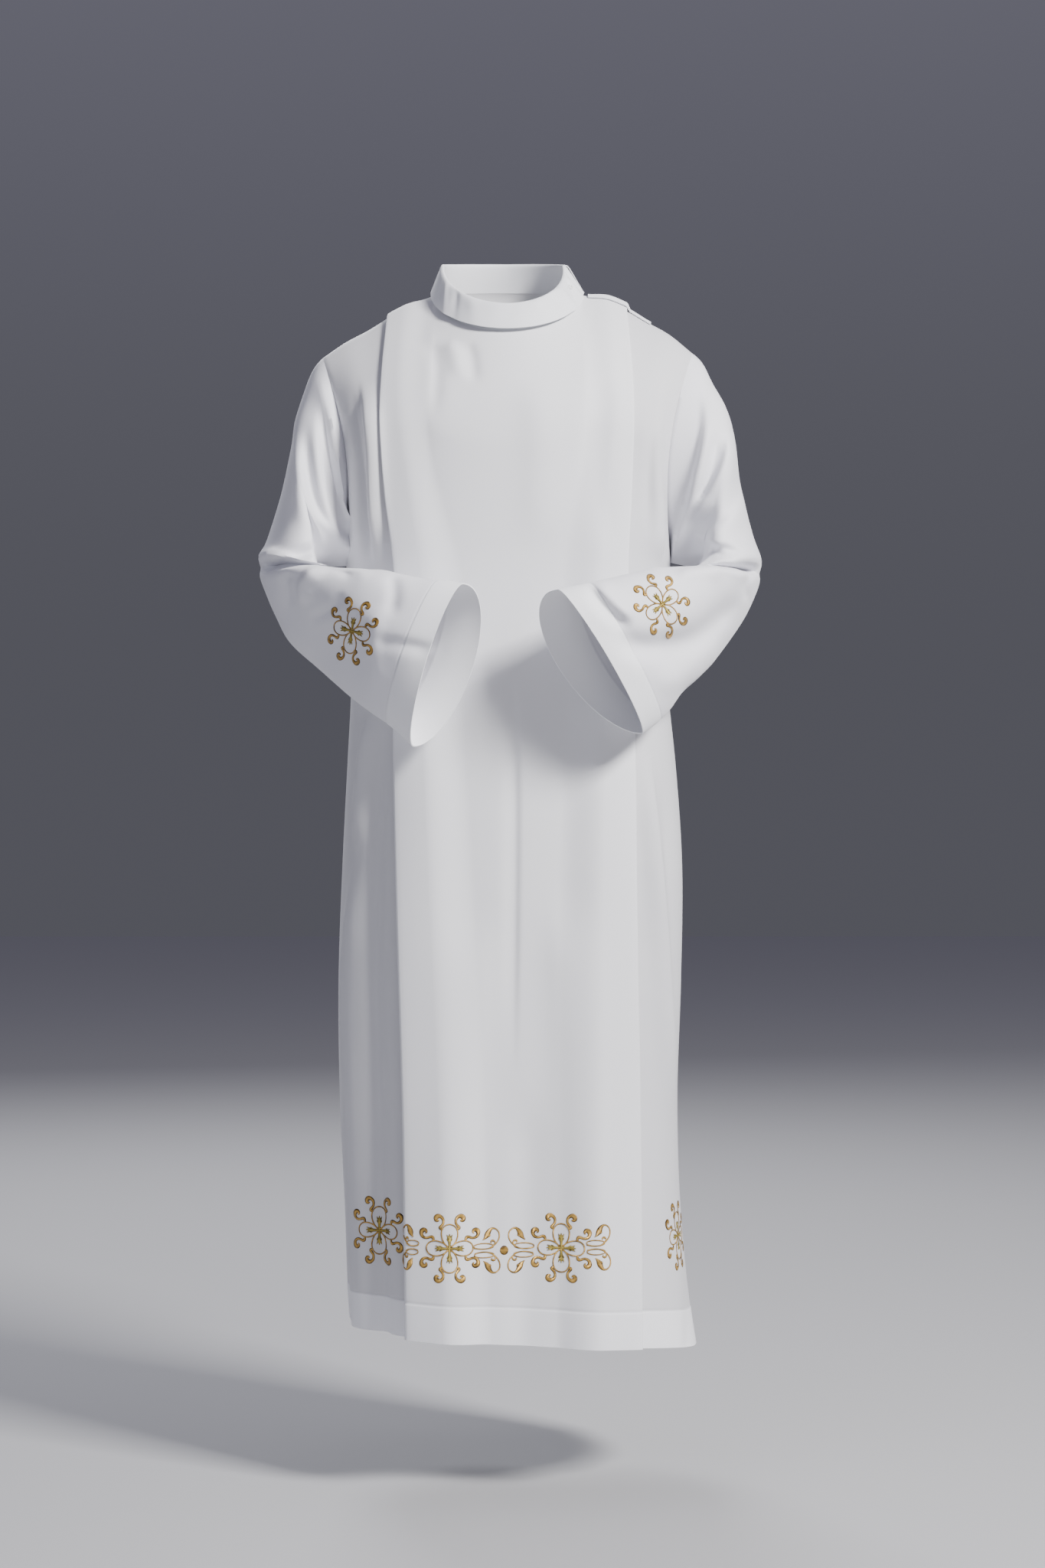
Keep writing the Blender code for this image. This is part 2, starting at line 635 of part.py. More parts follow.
def build():
    """Make every piece of the alb."""
    for item in list(bpy.data.objects):
        bpy.data.objects.remove(item)
    collection = bpy.data.collections.new(COLLECTION)
    bpy.context.scene.collection.children.link(collection)

    front = panel_grid(-1, FRONT_FOLDS)
    back = panel_grid(1, BACK_FOLDS)
    sleeve_right = sleeve_grid(SLEEVE_RIGHT, -1.0, front, back)
    sleeve_left = sleeve_grid(SLEEVE_LEFT, 1.0, front, back)
    collar = collar_grid(front, back)
    placket = placket_grid()

    pieces = {
        "front": [front, False, 1.0, (0.86, 0.87, 0.90)],
        "back": [back, False, -1.0, (0.84, 0.85, 0.88)],
        "sleeve_right": [sleeve_right, True, 1.0, (0.85, 0.86, 0.90)],
        "sleeve_left": [sleeve_left, True, -1.0, (0.85, 0.86, 0.90)],
        "collar": [collar, False, -1.0, (0.88, 0.89, 0.92)],
        "shoulder_placket": [placket, False, -1.0, (0.88, 0.89, 0.92)],
    }
    shared = []
    for name, (grid, closed, sign, _) in pieces.items():
        normals = grid_normals(grid, closed) * sign
        pieces[name].append(normals)
        shared.append((grid, normals))
    share_normals(shared)
    for name, (grid, closed, _, colour, normals) in pieces.items():
        add_wall(name, inset_edges(grid, normals, closed), normals, closed, CLOTH, colour)
    add_snap(collar, pieces["collar"][4], (0.90, 0.90, 0.90))


build()
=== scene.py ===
import math

import bmesh
import bpy
import numpy as np
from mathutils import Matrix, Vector
from mathutils.bvhtree import BVHTree


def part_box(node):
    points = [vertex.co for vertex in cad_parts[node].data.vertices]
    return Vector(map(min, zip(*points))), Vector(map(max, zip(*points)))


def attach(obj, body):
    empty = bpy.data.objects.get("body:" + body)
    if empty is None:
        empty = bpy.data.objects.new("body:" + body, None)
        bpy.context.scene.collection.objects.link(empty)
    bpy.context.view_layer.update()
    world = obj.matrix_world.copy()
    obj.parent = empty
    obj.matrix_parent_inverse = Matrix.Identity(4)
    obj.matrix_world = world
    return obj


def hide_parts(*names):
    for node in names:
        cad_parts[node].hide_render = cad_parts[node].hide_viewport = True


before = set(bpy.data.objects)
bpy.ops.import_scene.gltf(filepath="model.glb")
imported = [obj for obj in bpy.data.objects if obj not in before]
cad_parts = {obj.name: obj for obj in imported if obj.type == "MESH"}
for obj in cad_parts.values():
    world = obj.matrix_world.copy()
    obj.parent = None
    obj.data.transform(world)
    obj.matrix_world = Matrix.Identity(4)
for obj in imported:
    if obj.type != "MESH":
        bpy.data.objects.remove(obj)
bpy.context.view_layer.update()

# Studio: a level camera 4 m in front of the neck opening, and a pale floor 0.17 m under the hem. A
# large soft light hangs at the front right, a weaker one at the front left and one behind, under a
# cool sky that darkens down to the floor's own tone.
IMAGE_LONG_SIDE = 2048
FOCAL_PIXELS = 4000.0
SENSOR = 36.0
CAMERA_PLACE = (0.0195, -4.0, -0.634)
FLOOR_Z = -1.53
FLOOR_HALF = 14.0
LIGHTS = (
    # name         place               size  watts  colour
    ("key_light", (2.6, -2.45, 2.0), 1.0, 440.0, (1.0, 0.985, 0.975)),
    ("fill_light", (-2.8, -2.6, 0.4), 1.8, 24.0, (0.88, 0.90, 1.0)),
    ("back_light", (-0.8, 3.4, 1.8), 1.6, 130.0, (0.95, 0.96, 1.0)),
)
LIT_POINT = Vector((0.0, 0.0, -0.65))


def add_object(name, data):
    """New object in the scene for a mesh, a light or a camera."""
    made = bpy.data.objects.new(name, data)
    bpy.context.scene.collection.objects.link(made)
    return made


def add_node(tree, kind, inputs=(), **settings):
    """New node with its settings, and with each input filled in or linked to another's output."""
    node = tree.nodes.new(kind)
    for name, value in settings.items():
        setattr(node, name, value)
    for name, value in dict(inputs).items():
        if isinstance(value, bpy.types.NodeSocket):
            tree.links.new(value, node.inputs[name])
        else:
            node.inputs[name].default_value = value
    return node


def plain_finish(name, colour, roughness, metallic=0.0):
    """Principled material with one colour, to which a finish adds its own detail."""
    material = bpy.data.materials.new(name)
    material.use_nodes = True
    shader = material.node_tree.nodes["Principled BSDF"]
    shader.inputs["Base Color"].default_value = (*colour, 1.0)
    shader.inputs["Roughness"].default_value = roughness
    shader.inputs["Metallic"].default_value = metallic
    return material, shader


camera_data = bpy.data.cameras.new("studio_camera")
camera_data.sensor_width = SENSOR
camera_data.lens = SENSOR * FOCAL_PIXELS / IMAGE_LONG_SIDE
camera_data.clip_end = 60.0
camera = add_object("studio_camera", camera_data)
camera.location = CAMERA_PLACE
camera.rotation_euler = (math.radians(90.0), 0.0, 0.0)
bpy.context.scene.camera = camera

floor_work = bmesh.new()
bmesh.ops.create_grid(floor_work, x_segments=1, y_segments=1, size=FLOOR_HALF)
floor_mesh = bpy.data.meshes.new("studio_floor")
floor_work.to_mesh(floor_mesh)
floor_work.free()
floor_mesh.materials.append(plain_finish("floor_paint", (0.41, 0.41, 0.42), 0.85)[0])
floor = add_object("studio_floor", floor_mesh)
floor.location = (0.0, 0.0, FLOOR_Z)

for name, place, size, watts, colour in LIGHTS:
    light = bpy.data.lights.new(name, "AREA")
    light.shape = "SQUARE"
    light.size = size
    light.energy = watts
    light.color = colour
    lamp = add_object(name, light)
    lamp.location = place
    lamp.rotation_euler = (LIT_POINT - Vector(place)).to_track_quat("-Z", "Y").to_euler()

sky = bpy.data.worlds.new("studio_sky")
sky.use_nodes = True
direction = add_node(sky.node_tree, "ShaderNodeTexCoord").outputs["Generated"]
height = add_node(sky.node_tree, "ShaderNodeSeparateXYZ", {"Vector": direction}).outputs["Z"]
rise = add_node(sky.node_tree, "ShaderNodeMapRange",
                {"Value": height, "From Min": 0.02, "From Max": 0.55}, interpolation_type="SMOOTHSTEP")
shades = add_node(sky.node_tree, "ShaderNodeMix", {
    "Factor": rise.outputs["Result"],
    "A": (0.092, 0.092, 0.110, 1.0),
    "B": (0.190, 0.185, 0.240, 1.0),
}, data_type="RGBA")
sky.node_tree.links.new(shades.outputs["Result"], sky.node_tree.nodes["Background"].inputs["Color"])
bpy.context.scene.world = sky


# Front and back: one width of white polyester suiting each, sewn to each other at the shoulders and
# sides. Both have a knife pleat on each side that is stitched down from the shoulder to the chest
# and hangs open from there to the hem, which is turned up twice and sewn by machine.
CLOTH = 0.0007           # a single layer as it looks at its edges
WEAVE = 0.00045          # pitch of the threads
WAVE_UNIT = 0.314        # pitch of a wave texture at scale 1
# white of a turned-up hem, also used as painted light on the panels' middle between the pleats
HEM_AND_PAINTED_LIGHT_WHITE = (0.895, 0.90, 0.93, 1.0)
HEM_CLOTH = 0.0015       # three layers where the hem is turned up
NECK_HALF_WIDTH = 0.093
NECK_FRONT = (-0.092, -0.055)
NECK_BACK = (0.082, 0.020)
NECK_ANGLE = math.radians(27.0)
NECK_ANGLE_HEM = math.radians(12.0)
CHEST_AT = 0.55
ARMHOLE_DEPTH = 0.068
ARMHOLE_SCOOP = 0.018
SQUARENESS = 0.04
UNDERARM_Z = -0.345
HEM_Z = -1.337
HEM_FALL = 0.012
HEM_CORNER = 0.012
HEM_DEPTH = 0.047
PLEAT_LANDING = 0.010
PLEAT_EASE = 0.050
NOTCH_Z = -0.168         # where the stitching of the pleats ends

SHOULDER = np.array((
    # out, left z, right z (mm)
    (93, 6, 6),
    (125, -1, -8),
    (150, -11, -21),
    (182, -30, -41),
    (212, -47, -57),
    (241.5, -71, -77),
)) / 1000
BODY = np.array((
    # z, right, left, front, back (mm)
    (-345, -210, 212, -138, 122),
    (-520, -204, 210, -145, 124),
    (-600, -208, 218, -148, 130),
    (-730, -214.5, 227, -152, 140),
    (-890, -220, 226, -156, 150),
    (-1050, -218, 221, -160, 158),
    (-1180, -212, 225, -164, 165),
    (-1320, -206, 239, -168, 172),
    (-1365, -202, 246, -169, 174),
)) / 1000
PLEATS = np.array((
    # z, right, left, tuck, lift (mm)
    (-20, -155, 154, 10, 4.8),
    (-165, -160, 160, 12, 5.2),
    (-260, -153, 156, 18, 7.5),
    (-365, -140, 150, 22, 9),
    (-570, -140, 157, 26, 12),
    (-770, -136, 159, 30, 14),
    (-1070, -127, 162, 34, 16),
    (-1340, -122, 164, 36, 18),
)) / 1000
# Creases as seen from the front: a height below 0 is a trough
FRONT_CREASES = (
    # width on each side, height, then x, z along the line (mm)
    (14, 5, 12, -185, -110, -174, -200, -170, -278, -166, -364),
    (6, 8, -9.5, -202, -120, -189, -209, -181, -297, -176, -363),
    (6, 7, 5, -217, -141, -210, -200, -196, -298),
    (4, 14, 9.5, 208, -111, 198, -221, 195, -308, 191, -361),
    (6, 6, 6, 236, -102, 225, -133, 205, -182),
    (8, 8, -5, 200, -104, 185, -211, 179, -338),
    (9, 10, 2.8, -76, -66, -67, -87, -61, -124),
    (8, 9, -2.8, -53, -68, -44, -95, -42, -132),
    (10, 10, -2.6, -100, -62, -90, -105, -94, -183),
    (28, 24, 3, 36, -106, 42, -223, 36, -349),
    (16, 18, -3, 126, -97, 118, -223, 124, -349),
    (13, 5, 10.5, -175, -538, -186, -630, -193, -732),
    (14, 6, 10, -193, -722, -201, -804, -208, -901, -203, -1036, -197, -1191, -190, -1327),
    (10, 12, -8.5, -157, -553, -165, -688, -169, -862, -165, -1046, -157, -1327),
    (5, 14, 10.5, 176, -572, 186, -699, 196, -810, 207, -977, 214, -1095),
    (10, 8, -8.5, 194, -591, 209, -727, 221, -902, 231, -1096, 235, -1333),
    (8, 9, 6, 215, -902, 224, -1057, 238, -1333),
    (5, 12, -3.2, 9, -496, 10, -707, 7, -1014),
    (34, 26, 7, 70, -755, 82, -995, 90, -1326),
    (26, 34, 5.5, -41, -784, -48, -1014, -56, -1326),
    (24, 24, -4.5, 27, -1014, 25, -1187, 21, -1326),
)
BACK_CREASES = (
    # width on each side, height, then x, z along the line (mm)
    (6, 14, 8, -180, -130, -183, -360, -175, -600),
    (14, 6, 8, 182, -120, 186, -330, 178, -560),
    (8, 8, -5, -196, -170, -198, -330, -190, -520),
    (6, 15, 9, -175, -550, -185, -900, -190, -1300),
    (15, 7, 9, 186, -500, 190, -880, 205, -1345),
    (20, 12, -8, 6, -250, 10, -700, 4, -1345),
    (12, 18, 5, 30, -300, 34, -700, 40, -1345),
    (10, 26, 8, -70, -420, -80, -820, -82, -1345),
    (14, 10, -4.5, -42, -520, -46, -900, -44, -1345),
    (24, 10, 8, 64, -420, 74, -800, 80, -1345),
    (12, 18, 4.5, 112, -700, 116, -1000, 120, -1345),
    (12, 12, -5, 150, -800, 152, -1100, 150, -1345),
    (10, 14, 3.5, -60, -60, -90, -160, -100, -280),
    (14, 10, 3.5, 60, -60, 86, -150, 104, -300),
)
HEM_REACH = 0.05         # a crease that ends this near the hem runs out through it
HALF_GIRTH = 0.21        # turns an angle round the body into metres
FOLD_LEAD = 0.016        # cloth outside each pleat that belongs to its fold
PLEAT_SEARCH = 0.8       # angle at which the search for a pleat's edge starts
SWEEP = np.radians(np.linspace(-76.0, 76.0, 229))
UPPER_ROWS = 76          # rows of points from the shoulder to the underarm
LOWER_ROWS = 66
TURN_UP_ROWS = 12
SEAM_GAP = 0.006         # row places left clear on each side of the hem's sewing
SEAM_ROWS = np.array((-0.0035, -0.0018, -0.0006, 0.0006, 0.0018, 0.0035))
SIDE_COLUMNS = 24
YOKE_COLUMNS = 10
NECK_COLUMNS = 34
FOLD_COLUMNS = 35        # columns of a pleat's five parts
SMOOTHING = 5            # rows over which the table's steps are evened out
STEPS = 12               # points between two places of a drawn line


def smooth_step(value):
    """Go from 0 to 1 with a level start and end."""
    value = np.clip(value, 0.0, 1.0)
    return value * value * (3.0 - 2.0 * value)


def table_value(rows, column, at):
    """Smooth value of one column of a table at a place in its first column."""
    table = np.array(rows, dtype=float)
    keys, values, at = table[:, 0], table[:, column], np.asarray(at, dtype=float)
    if keys[0] > keys[-1]:
        keys, at = -keys, -at
    slopes = np.gradient(values, keys)
    at = np.clip(at, keys[0], keys[-1])
    i = np.clip(np.searchsorted(keys, at, side="right") - 1, 0, len(keys) - 2)
    span = keys[i + 1] - keys[i]
    t = (at - keys[i]) / span
    return ((2 * t ** 3 - 3 * t ** 2 + 1) * values[i] + (t ** 3 - 2 * t ** 2 + t) * slopes[i] * span
            + (3 * t ** 2 - 2 * t ** 3) * values[i + 1] + (t ** 3 - t ** 2) * slopes[i + 1] * span)


def top_edge(theta, side):
    """Top edge of a panel: the neckline in the middle and a shoulder seam on each side."""
    sign = np.where(theta >= 0.0, 1.0, -1.0)
    angle = np.abs(theta)
    share = np.clip((angle - NECK_ANGLE) / (math.pi / 2 - NECK_ANGLE), 0.0, 1.0)
    out = NECK_HALF_WIDTH + share * (SHOULDER[-1][0] - NECK_HALF_WIDTH)
    ridge = np.where(sign > 0, table_value(SHOULDER, 1, out), table_value(SHOULDER, 2, out))
    shoulder = np.stack((sign * out, 0.0 * out, ridge), -1)
    turn = np.clip(angle / NECK_ANGLE, 0.0, 1.0) * math.pi / 2
    depth, low = NECK_FRONT if side < 0 else NECK_BACK
    height = SHOULDER[0][1] + (low - SHOULDER[0][1]) * np.cos(turn)
    neck = np.stack((sign * NECK_HALF_WIDTH * np.sin(turn), depth * np.cos(turn), height), -1)
    return np.where((angle >= NECK_ANGLE)[..., None], shoulder, neck)


def body_section(theta, z, side):
    """Rounded section of the body at a height."""
    low_x, high_x = table_value(BODY, 1, z), table_value(BODY, 2, z)
    depth = table_value(BODY, 3 if side < 0 else 4, z)
    across = (np.sin(theta) + SQUARENESS * np.sin(3 * theta)) / (1 - SQUARENESS)
    away = (np.cos(theta) - SQUARENESS * np.cos(3 * theta)) / (1 - SQUARENESS)
    return np.stack(((low_x + high_x) / 2 + (high_x - low_x) / 2 * across, depth * away, z), -1)


def hem_height(theta):
    """Height of the hem, a little lower towards +x."""
    corner = np.clip(np.sin(theta), 0.0, 1.0) ** 6
    return HEM_Z - HEM_FALL * np.sin(theta) - HEM_CORNER * corner


def body_surface(theta, v, side):
    """Plain body: v is 0 on the shoulder, 1 at the underarm and 2 at the hem."""
    v = np.broadcast_to(v, theta.shape)
    z = UNDERARM_Z + (np.maximum(v, 1.0) - 1.0) * (hem_height(theta) - UNDERARM_Z)
    lower = body_section(theta, z, side)
    top = top_edge(theta, side)
    forward = 1.0 - (1.0 - np.minimum(v / CHEST_AT, 1.0)) ** 2
    share = np.stack((v, forward, v), -1)
    upper = top + (lower - top) * share
    edge = np.abs(np.sin(theta)) ** 6
    bow = np.clip(np.sin(math.pi * np.minimum(v, 1.0)), 0.0, 1.0)
    upper[..., 0] -= np.sign(theta) * ARMHOLE_SCOOP * bow * edge
    upper[..., 1] += side * ARMHOLE_DEPTH * bow ** 0.6 * edge
    return np.where((v > 1.0)[..., None], lower, upper)


def pleat_half(v, side, sign):
    """Column angles and heights over the body of one half of a row, from the side inwards."""
    places = body_surface(SWEEP, v, side)[:, 0]

    def angle_at(x):
        return np.interp(x, places, SWEEP)

    z = float(body_surface(np.array([sign * PLEAT_SEARCH]), v, side)[0, 2])
    edge = tuck = lift = 0.0
    for _ in range(3):
        edge = float(table_value(PLEATS, 2 if sign > 0 else 1, z))
        tuck = float(table_value(PLEATS, 3, z))
        lift = float(table_value(PLEATS, 4, z))
        z = float(body_surface(np.array([angle_at(edge)]), v, side)[0, 2])
    bend = lift / 4
    turn = np.linspace(0.0, math.pi, 8)
    layers = (
        # distance in from the pleat's edge, and height over the body
        (np.linspace(-FOLD_LEAD, tuck - bend, 9)[:-1], 0.0),
        (tuck - bend + bend * np.sin(turn), bend * (1 - np.cos(turn))),
        (np.linspace(tuck - bend, bend, 6)[1:-1], 2 * bend),
        (bend - bend * np.sin(turn), 2 * bend + bend * (1 - np.cos(turn))),
        (np.linspace(bend, tuck + PLEAT_LANDING, 8)[1:], 4 * bend),
    )
    inwards = np.concatenate([run for run, _ in layers])
    heights = np.concatenate([0.0 * run + height for run, height in layers])
    fold = angle_at(edge - sign * inwards)
    share = float(smooth_step(v - 1.0))
    neck = NECK_ANGLE + share * (NECK_ANGLE_HEM - NECK_ANGLE)
    outside = np.linspace(sign * math.pi / 2, fold[0], SIDE_COLUMNS + 1)[:-1]
    yoke = np.linspace(fold[-1], sign * neck, YOKE_COLUMNS + 1)[1:]
    middle = np.linspace(sign * neck, 0.0, NECK_COLUMNS + 1)[1:]
    inner = np.concatenate((yoke, middle))
    ease = lift * (1.0 - smooth_step(np.abs(fold[-1] - inner) * HALF_GIRTH / PLEAT_EASE))
    return (np.concatenate((outside, fold, inner)),
            np.concatenate((np.zeros(SIDE_COLUMNS), heights, ease)))


def panel_levels():
    """Row places of a panel, closer together where the hem is sewn."""
    upper = np.linspace(0.0, 1.0, UPPER_ROWS + 1)
    drop = UNDERARM_Z - HEM_Z
    hem = 2.0 - HEM_DEPTH / drop
    lower = np.linspace(1.0, hem - SEAM_GAP, LOWER_ROWS)[1:]
    turn_up = np.linspace(hem + SEAM_GAP, 2.0, TURN_UP_ROWS)
    return np.concatenate((upper, lower, hem + SEAM_ROWS, turn_up)), hem


def fine_line(rows):
    """Closely spaced rows along a smooth line through those of a table."""
    keyed = [(i, *row) for i, row in enumerate(rows)]
    at = np.linspace(0, len(rows) - 1, STEPS * len(rows))
    return np.stack([table_value(keyed, column + 1, at) for column in range(len(rows[0]))], -1)


def crease_relief(x, z, creases):
    """Height of all creases together at places seen from the front."""
    total = np.zeros_like(x)
    spots = np.stack((x, z), -1)
    for crease in creases:
        wide_a, wide_b, height, *path = np.array(crease) / 1000
        path = np.reshape(path, (-1, 2))
        line = fine_line(path)
        run = np.gradient(line, axis=0)
        step = np.linalg.norm(run, axis=1)
        run /= step[:, None]
        reach = np.full(x.shape, np.inf)
        across, along, past = np.zeros_like(x), np.zeros_like(x), np.zeros_like(x)
        for i, (place, way) in enumerate(zip(line, run)):
            gap = spots - place
            far = np.hypot(gap[..., 0], gap[..., 1])
            closer = far < reach
            ahead = gap[..., 0] * way[0] + gap[..., 1] * way[1]
            reach = np.where(closer, far, reach)
            across = np.where(closer, gap[..., 1] * way[0] - gap[..., 0] * way[1], across)
            along = np.where(closer, (i + ahead / step[i]) / (len(line) - 1), along)
            past = np.where(closer, np.maximum(np.abs(ahead) - step[i], 0.0), past)
        reach = np.hypot(across, past)
        along = np.clip(along, 0.0, 1.0)
        width = wide_b + (wide_a - wide_b) * smooth_step(across / (wide_a + wide_b) + 0.5)
        tail = 1.0 if path[-1][1] < HEM_Z + HEM_REACH else smooth_step((1.0 - along) / 0.3)
        total += height * smooth_step(along / 0.25) * tail * np.exp(-(reach / width) ** 2)
    return total


def row_smooth(grid, rows):
    """Even the grid out along its columns, leaving the first and last rows in place."""
    kernel = np.hanning(2 * rows + 3)[1:-1]
    kernel /= kernel.sum()
    count = len(grid)
    before, after = 2 * grid[:1] - grid[rows:0:-1], 2 * grid[-1:] - grid[-2:-rows - 2:-1]
    padded = np.concatenate((before, grid, after))
    return sum(weight * padded[k:k + count] for k, weight in enumerate(kernel))


def body_outward(angles, levels, side):
    """Outward directions of the plain body, shared by both panels on the shoulder seam."""
    step = 0.004
    levels = np.broadcast_to(levels, angles.shape)
    ahead = body_surface(np.clip(angles + step, -math.pi / 2, math.pi / 2), levels, side)
    behind = body_surface(np.clip(angles - step, -math.pi / 2, math.pi / 2), levels, side)
    above = body_surface(angles, np.maximum(levels - step, 0.0), side)
    below = body_surface(angles, np.minimum(levels + step, 2.0), side)
    across = ahead - behind
    outward = np.cross(across, below - above) * side
    upward = np.stack((-across[..., 2], 0.0 * across[..., 0], across[..., 0]), -1)
    ridge = (levels <= 0.0) & (np.abs(angles) >= NECK_ANGLE)
    outward = np.where(ridge[..., None], upward, outward)
    return outward / np.linalg.norm(outward, axis=-1, keepdims=True)


def surface_normals(grid, closed=False):
    """Direction at each point of a grid."""
    if closed:
        around = np.roll(grid, -1, axis=1) - np.roll(grid, 1, axis=1)
    else:
        around = np.gradient(grid, axis=1)
    normals = np.cross(np.gradient(grid, axis=0), around)
    return normals / (np.linalg.norm(normals, axis=2, keepdims=True) + 1e-12)


def panel_surface(side, creases):
    """Mid-surface of the front (side -1) or the back (side +1), with its outward directions."""
    levels, hem = panel_levels()
    angles, heights = [], []
    for v in levels:
        right, left = (pleat_half(v, side, sign) for sign in (-1.0, 1.0))
        angles.append(np.concatenate((right[0], left[0][-2::-1])))
        heights.append(np.concatenate((right[1], left[1][-2::-1])))
    angles, heights = np.array(angles), np.array(heights)
    plain = body_surface(angles, levels[:, None], side)
    inside = 1.0 - np.abs(np.sin(angles)) ** 16
    near = np.exp(-((levels - 1.0) / 0.12) ** 2)[:, None]
    plain += (row_smooth(plain, SMOOTHING) - plain) * (inside * near)[..., None]
    relief = crease_relief(plain[..., 0], plain[..., 2], creases) * inside
    grid = plain + body_outward(angles, levels[:, None], side) * (heights + relief)[..., None]
    return grid, surface_normals(grid) * -side, levels, hem


def face_outwards(mesh):
    """Turn the faces of a closed mesh outwards."""
    work = bmesh.new()
    work.from_mesh(mesh)
    bmesh.ops.recalc_face_normals(work, faces=work.faces)
    work.to_mesh(mesh)
    work.free()


def wall_mesh(name, grid, normals, thickness, closed=False, band=None):
    """Close a mid-surface into a thin wall, with UVs in metres and a mark on its turned-up hem, to
    which band can add painted light.
    """
    rows, columns = grid.shape[:2]
    thick = np.broadcast_to(thickness, (rows, columns))[..., None]
    skins = np.concatenate((grid + normals * thick / 2, grid - normals * thick / 2)).reshape(-1, 3)
    spans = columns if closed else columns - 1
    i, j = np.meshgrid(np.arange(rows - 1), np.arange(spans), indexing="ij")
    k = (j + 1) % columns
    a, b, c, d = (r * columns + s for r, s in ((i, j), (i + 1, j), (i + 1, k), (i, k)))
    outer = np.stack((a, b, c, d), -1).reshape(-1, 4)
    offset = rows * columns
    inner = outer[:, ::-1] + offset
    i, j = np.arange(rows - 1), np.arange(spans)
    k = (j + 1) % columns
    edges = [(k, j), ((rows - 1) * columns + j, (rows - 1) * columns + k)]
    if not closed:
        edges.append((i * columns, (i + 1) * columns))
        edges.append(((i + 2) * columns - 1, (i + 1) * columns - 1))
    rims = [np.stack((end, start, start + offset, end + offset), -1) for start, end in edges]
    faces = np.concatenate((outer, inner, *rims))
    mesh = bpy.data.meshes.new(name)
    mesh.from_pydata(skins.tolist(), [], faces.tolist())
    wide = np.concatenate((grid, grid[:, :1]), axis=1) if closed else grid
    run = np.zeros(wide.shape[:2])
    run[:, 1:] = np.cumsum(np.linalg.norm(np.diff(wide, axis=1), axis=2), axis=1)
    drop = np.zeros(wide.shape[:2])
    drop[1:] = np.cumsum(np.linalg.norm(np.diff(wide, axis=0), axis=2), axis=0)
    corner = faces % offset
    row, column = corner // columns, corner % columns
    if closed:
        wraps = (column.max(axis=1) == columns - 1) & (column.min(axis=1) == 0)
        column = np.where(wraps[:, None] & (column == 0), columns, column)
    flat = np.stack((run[row, column], -drop[row, column]), -1)
    layer = mesh.uv_layers.new(name="cloth_metres")
    layer.data.foreach_set("uv", flat.ravel())
    # the hem mark holds the turned-up hem and, on the panels, the painted light of their middle
    hem = mesh.attributes.new("hem", "FLOAT", "POINT")
    marks = np.zeros((rows, columns)) if band is None else np.broadcast_to(band, (rows, columns))
    hem.data.foreach_set("value", np.concatenate((marks.ravel(), marks.ravel())))
    mesh.shade_smooth()
    face_outwards(mesh)
    mesh.set_sharp_from_angle(angle=math.radians(60.0))
    return add_object(name, mesh)


def cloth_finish(name, tint, shade, roughness=0.62):
    """White suiting: a fine plain weave, faint uneven dyeing, a soft sheen, whiter hems and, where the
    hem mark carries it, painted light.
    """
    material, shader = plain_finish(name, tint, roughness)
    tree = material.node_tree
    spot = add_node(tree, "ShaderNodeTexCoord").outputs["Object"]
    cloud = add_node(tree, "ShaderNodeTexNoise", {"Vector": spot, "Scale": 9.0, "Detail": 3.0})
    soften = add_node(tree, "ShaderNodeMapRange", {
        "Value": cloud.outputs["Fac"], "From Min": 0.35, "From Max": 0.75})
    tone = add_node(tree, "ShaderNodeMix", {
        "Factor": soften.outputs["Result"], "A": (*tint, 1.0), "B": (*shade, 1.0)}, data_type="RGBA")
    # the hem mark also brings painted light to the panels' middle, between the pleats
    mark = add_node(tree, "ShaderNodeAttribute", attribute_name="hem")
    whiter = add_node(tree, "ShaderNodeMix", {
        "Factor": mark.outputs["Fac"], "A": tone.outputs["Result"], "B": HEM_AND_PAINTED_LIGHT_WHITE}, data_type="RGBA")
    place = add_node(tree, "ShaderNodeUVMap", uv_map="cloth_metres").outputs["UV"]
    warp, weft = (add_node(tree, "ShaderNodeTexWave", {
        "Vector": place, "Scale": WAVE_UNIT / WEAVE / 2, "Distortion": 0.6, "Detail Scale": 2.0,
    }, bands_direction=direction).outputs["Fac"] for direction in ("X", "Y"))
    cross = add_node(tree, "ShaderNodeMath", {0: warp, 1: weft}, operation="MULTIPLY")
    slub = add_node(tree, "ShaderNodeTexNoise", {"Vector": spot, "Scale": 260.0, "Detail": 2.0})
    height = add_node(tree, "ShaderNodeMath", {
        0: slub.outputs["Fac"], 1: 0.6, 2: cross.outputs["Value"]}, operation="MULTIPLY_ADD")
    bump = add_node(tree, "ShaderNodeBump", {
        "Strength": 0.22, "Distance": 0.0002, "Height": height.outputs["Value"]})
    tree.links.new(whiter.outputs["Result"], shader.inputs["Base Color"])
    tree.links.new(bump.outputs["Normal"], shader.inputs["Normal"])
    shader.inputs["Sheen Weight"].default_value = 0.25
    shader.inputs["Sheen Roughness"].default_value = 0.45
    shader.inputs["Specular IOR Level"].default_value = 0.35
    return material


def share_edges(*edges):
    """Give panels that meet at a seam the same direction there."""
    for rows in zip(*edges):
        total = sum(rows)
        total /= np.linalg.norm(total)
        for row in rows:
            row[:] = total


front_grid, front_normals, levels, hem_level = panel_surface(-1, FRONT_CREASES)
back_grid, back_normals, _, _ = panel_surface(1, BACK_CREASES)


